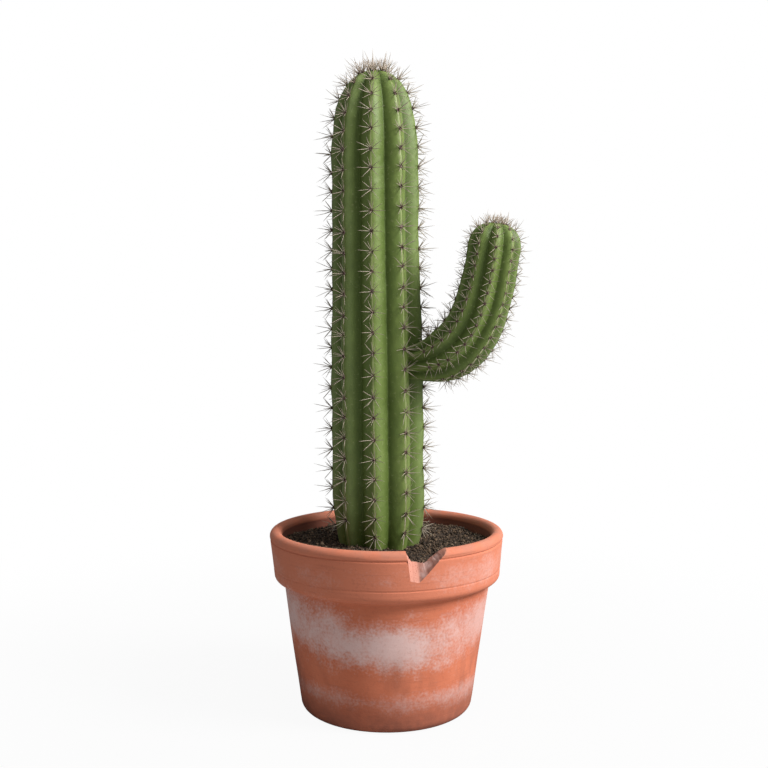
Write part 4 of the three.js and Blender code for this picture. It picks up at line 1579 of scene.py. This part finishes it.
@dataclass
class Studio:
    """A pale floor, soft light from the right and the camera."""

    camera_place: tuple[float, float, float] = (-1.65 * MM, -719.4 * MM, 265.2 * MM)
    camera_pitch_degrees: float = 3.61
    lens: float = 50.0
    floor_radius: float = 6.0
    floor_sides: int = 96
    aim_height: float = 0.2

    def camera(self) -> None:
        """The camera, level with the upper stem and looking slightly down."""
        data = bpy.data.cameras.new("camera")
        data.lens = self.lens
        data.sensor_width = 36.0
        data.clip_start = 0.01
        holder = bpy.data.objects.new("camera", data)
        holder.location = self.camera_place
        holder.rotation_euler = (math.radians(90.0 - self.camera_pitch_degrees), 0.0, 0.0)
        bpy.context.scene.collection.objects.link(holder)
        bpy.context.scene.camera = holder

    def area(
        self, name: str, azimuth: float, elevation: float, distance: float, size: float, power: float
    ) -> None:
        """A round area light aimed at the plant's middle.

        Args:
            name: The light's name.
            azimuth: Degrees from the front towards the right.
            elevation: Degrees above the horizon.
            distance: Metres from the plant.
            size: Its diameter.
            power: Watts.
        """
        data = bpy.data.lights.new(name, "AREA")
        data.shape = "DISK"
        data.size = size
        data.energy = power
        holder = bpy.data.objects.new(name, data)
        turn, rise = math.radians(azimuth), math.radians(elevation)
        flat = math.cos(rise) * distance
        height = self.aim_height + distance * math.sin(rise)
        holder.location = (flat * math.sin(turn), -flat * math.cos(turn), height)
        holder.rotation_euler = (math.pi / 2 - rise, 0.0, turn)
        bpy.context.scene.collection.objects.link(holder)

    def world(self) -> None:
        """Soft light from all round; the camera sees it white."""
        world = bpy.data.worlds.new("world")
        world.use_nodes = True
        graph = Graph(world.node_tree)
        seen = graph.add("ShaderNodeLightPath").outputs["Is Camera Ray"]
        soft = graph.add("ShaderNodeBackground", {"Color": (0.96, 0.98, 1.0), "Strength": 0.30})
        white = graph.add("ShaderNodeBackground", {"Color": (1.0, 1.0, 1.0), "Strength": 1.0})
        both = graph.add("ShaderNodeMixShader", {0: seen, 1: soft.outputs[0], 2: white.outputs[0]})
        graph.add("ShaderNodeOutputWorld", {"Surface": both.outputs[0]})
        bpy.context.scene.world = world

    def floor(self) -> None:
        """A round pale floor, which glows a little to the camera so that it fades into the background."""
        sides = self.floor_sides
        angle = np.linspace(0.0, TAU, sides, endpoint=False)
        ring = np.stack([np.cos(angle), np.sin(angle), angle * 0], axis=-1) * self.floor_radius
        points = np.concatenate([ring, [(0.0, 0.0, 0.0)]])
        floor = mesh_object("floor", points, [fan_faces(sides, 0, sides, at_start=False)])
        material = bpy.data.materials.new("floor")
        material.use_nodes = True
        graph = Graph(material.node_tree)
        seen = graph.add("ShaderNodeLightPath").outputs["Is Camera Ray"]
        matte = graph.add("ShaderNodeBsdfDiffuse", {"Color": (0.45, 0.45, 0.45)})
        glow = graph.add("ShaderNodeEmission", {"Color": (1.0, 1.0, 1.0), "Strength": 1.0})
        away = graph.add("ShaderNodeVectorMath", {0: graph.place()}, operation="LENGTH").outputs["Value"]
        share = graph.times(seen, graph.line(graph.step(away, 0.1, 0.6), 0.06, 0.94))
        both = graph.add("ShaderNodeMixShader", {0: share, 1: matte.outputs[0], 2: glow.outputs[0]})
        graph.add("ShaderNodeOutputMaterial", {"Surface": both.outputs[0]})
        floor.data.materials.append(material)

    def build(self) -> None:
        """Everything in the studio."""
        self.camera()
        self.world()
        self.floor()
        self.area("key", azimuth=66.0, elevation=36.0, distance=1.6, size=0.7, power=40.0)
        self.area("top", azimuth=30.0, elevation=76.0, distance=1.6, size=1.0, power=6.0)
        bpy.context.scene.view_settings.view_transform = "Standard"


def main() -> None:
    """Builds the studio, the pot, the soil and the plant in order."""
    logging.basicConfig(level=logging.INFO, format="%(name)s %(message)s")
    Studio().build()
    effects = Effects(mottle=mottle_group(), grain=grain_group())
    pot = ClayPot()
    clay = Terracotta(collar_base=pot.collar_base, lip_base=pot.height - pot.grooves[0][0])
    pot.build(clay.make(effects))
    soil_finish = Soil().make(effects)
    soil = PottingSoil(hollow=pot.inner_wall())
    soil.bed(soil_finish)
    soil.crumbs(soil_finish)
    Cactus().build(CactusSkin().make(effects), SpineHorn().make(effects), AreoleFelt().make(effects))


if __name__ == "__main__":
    main()
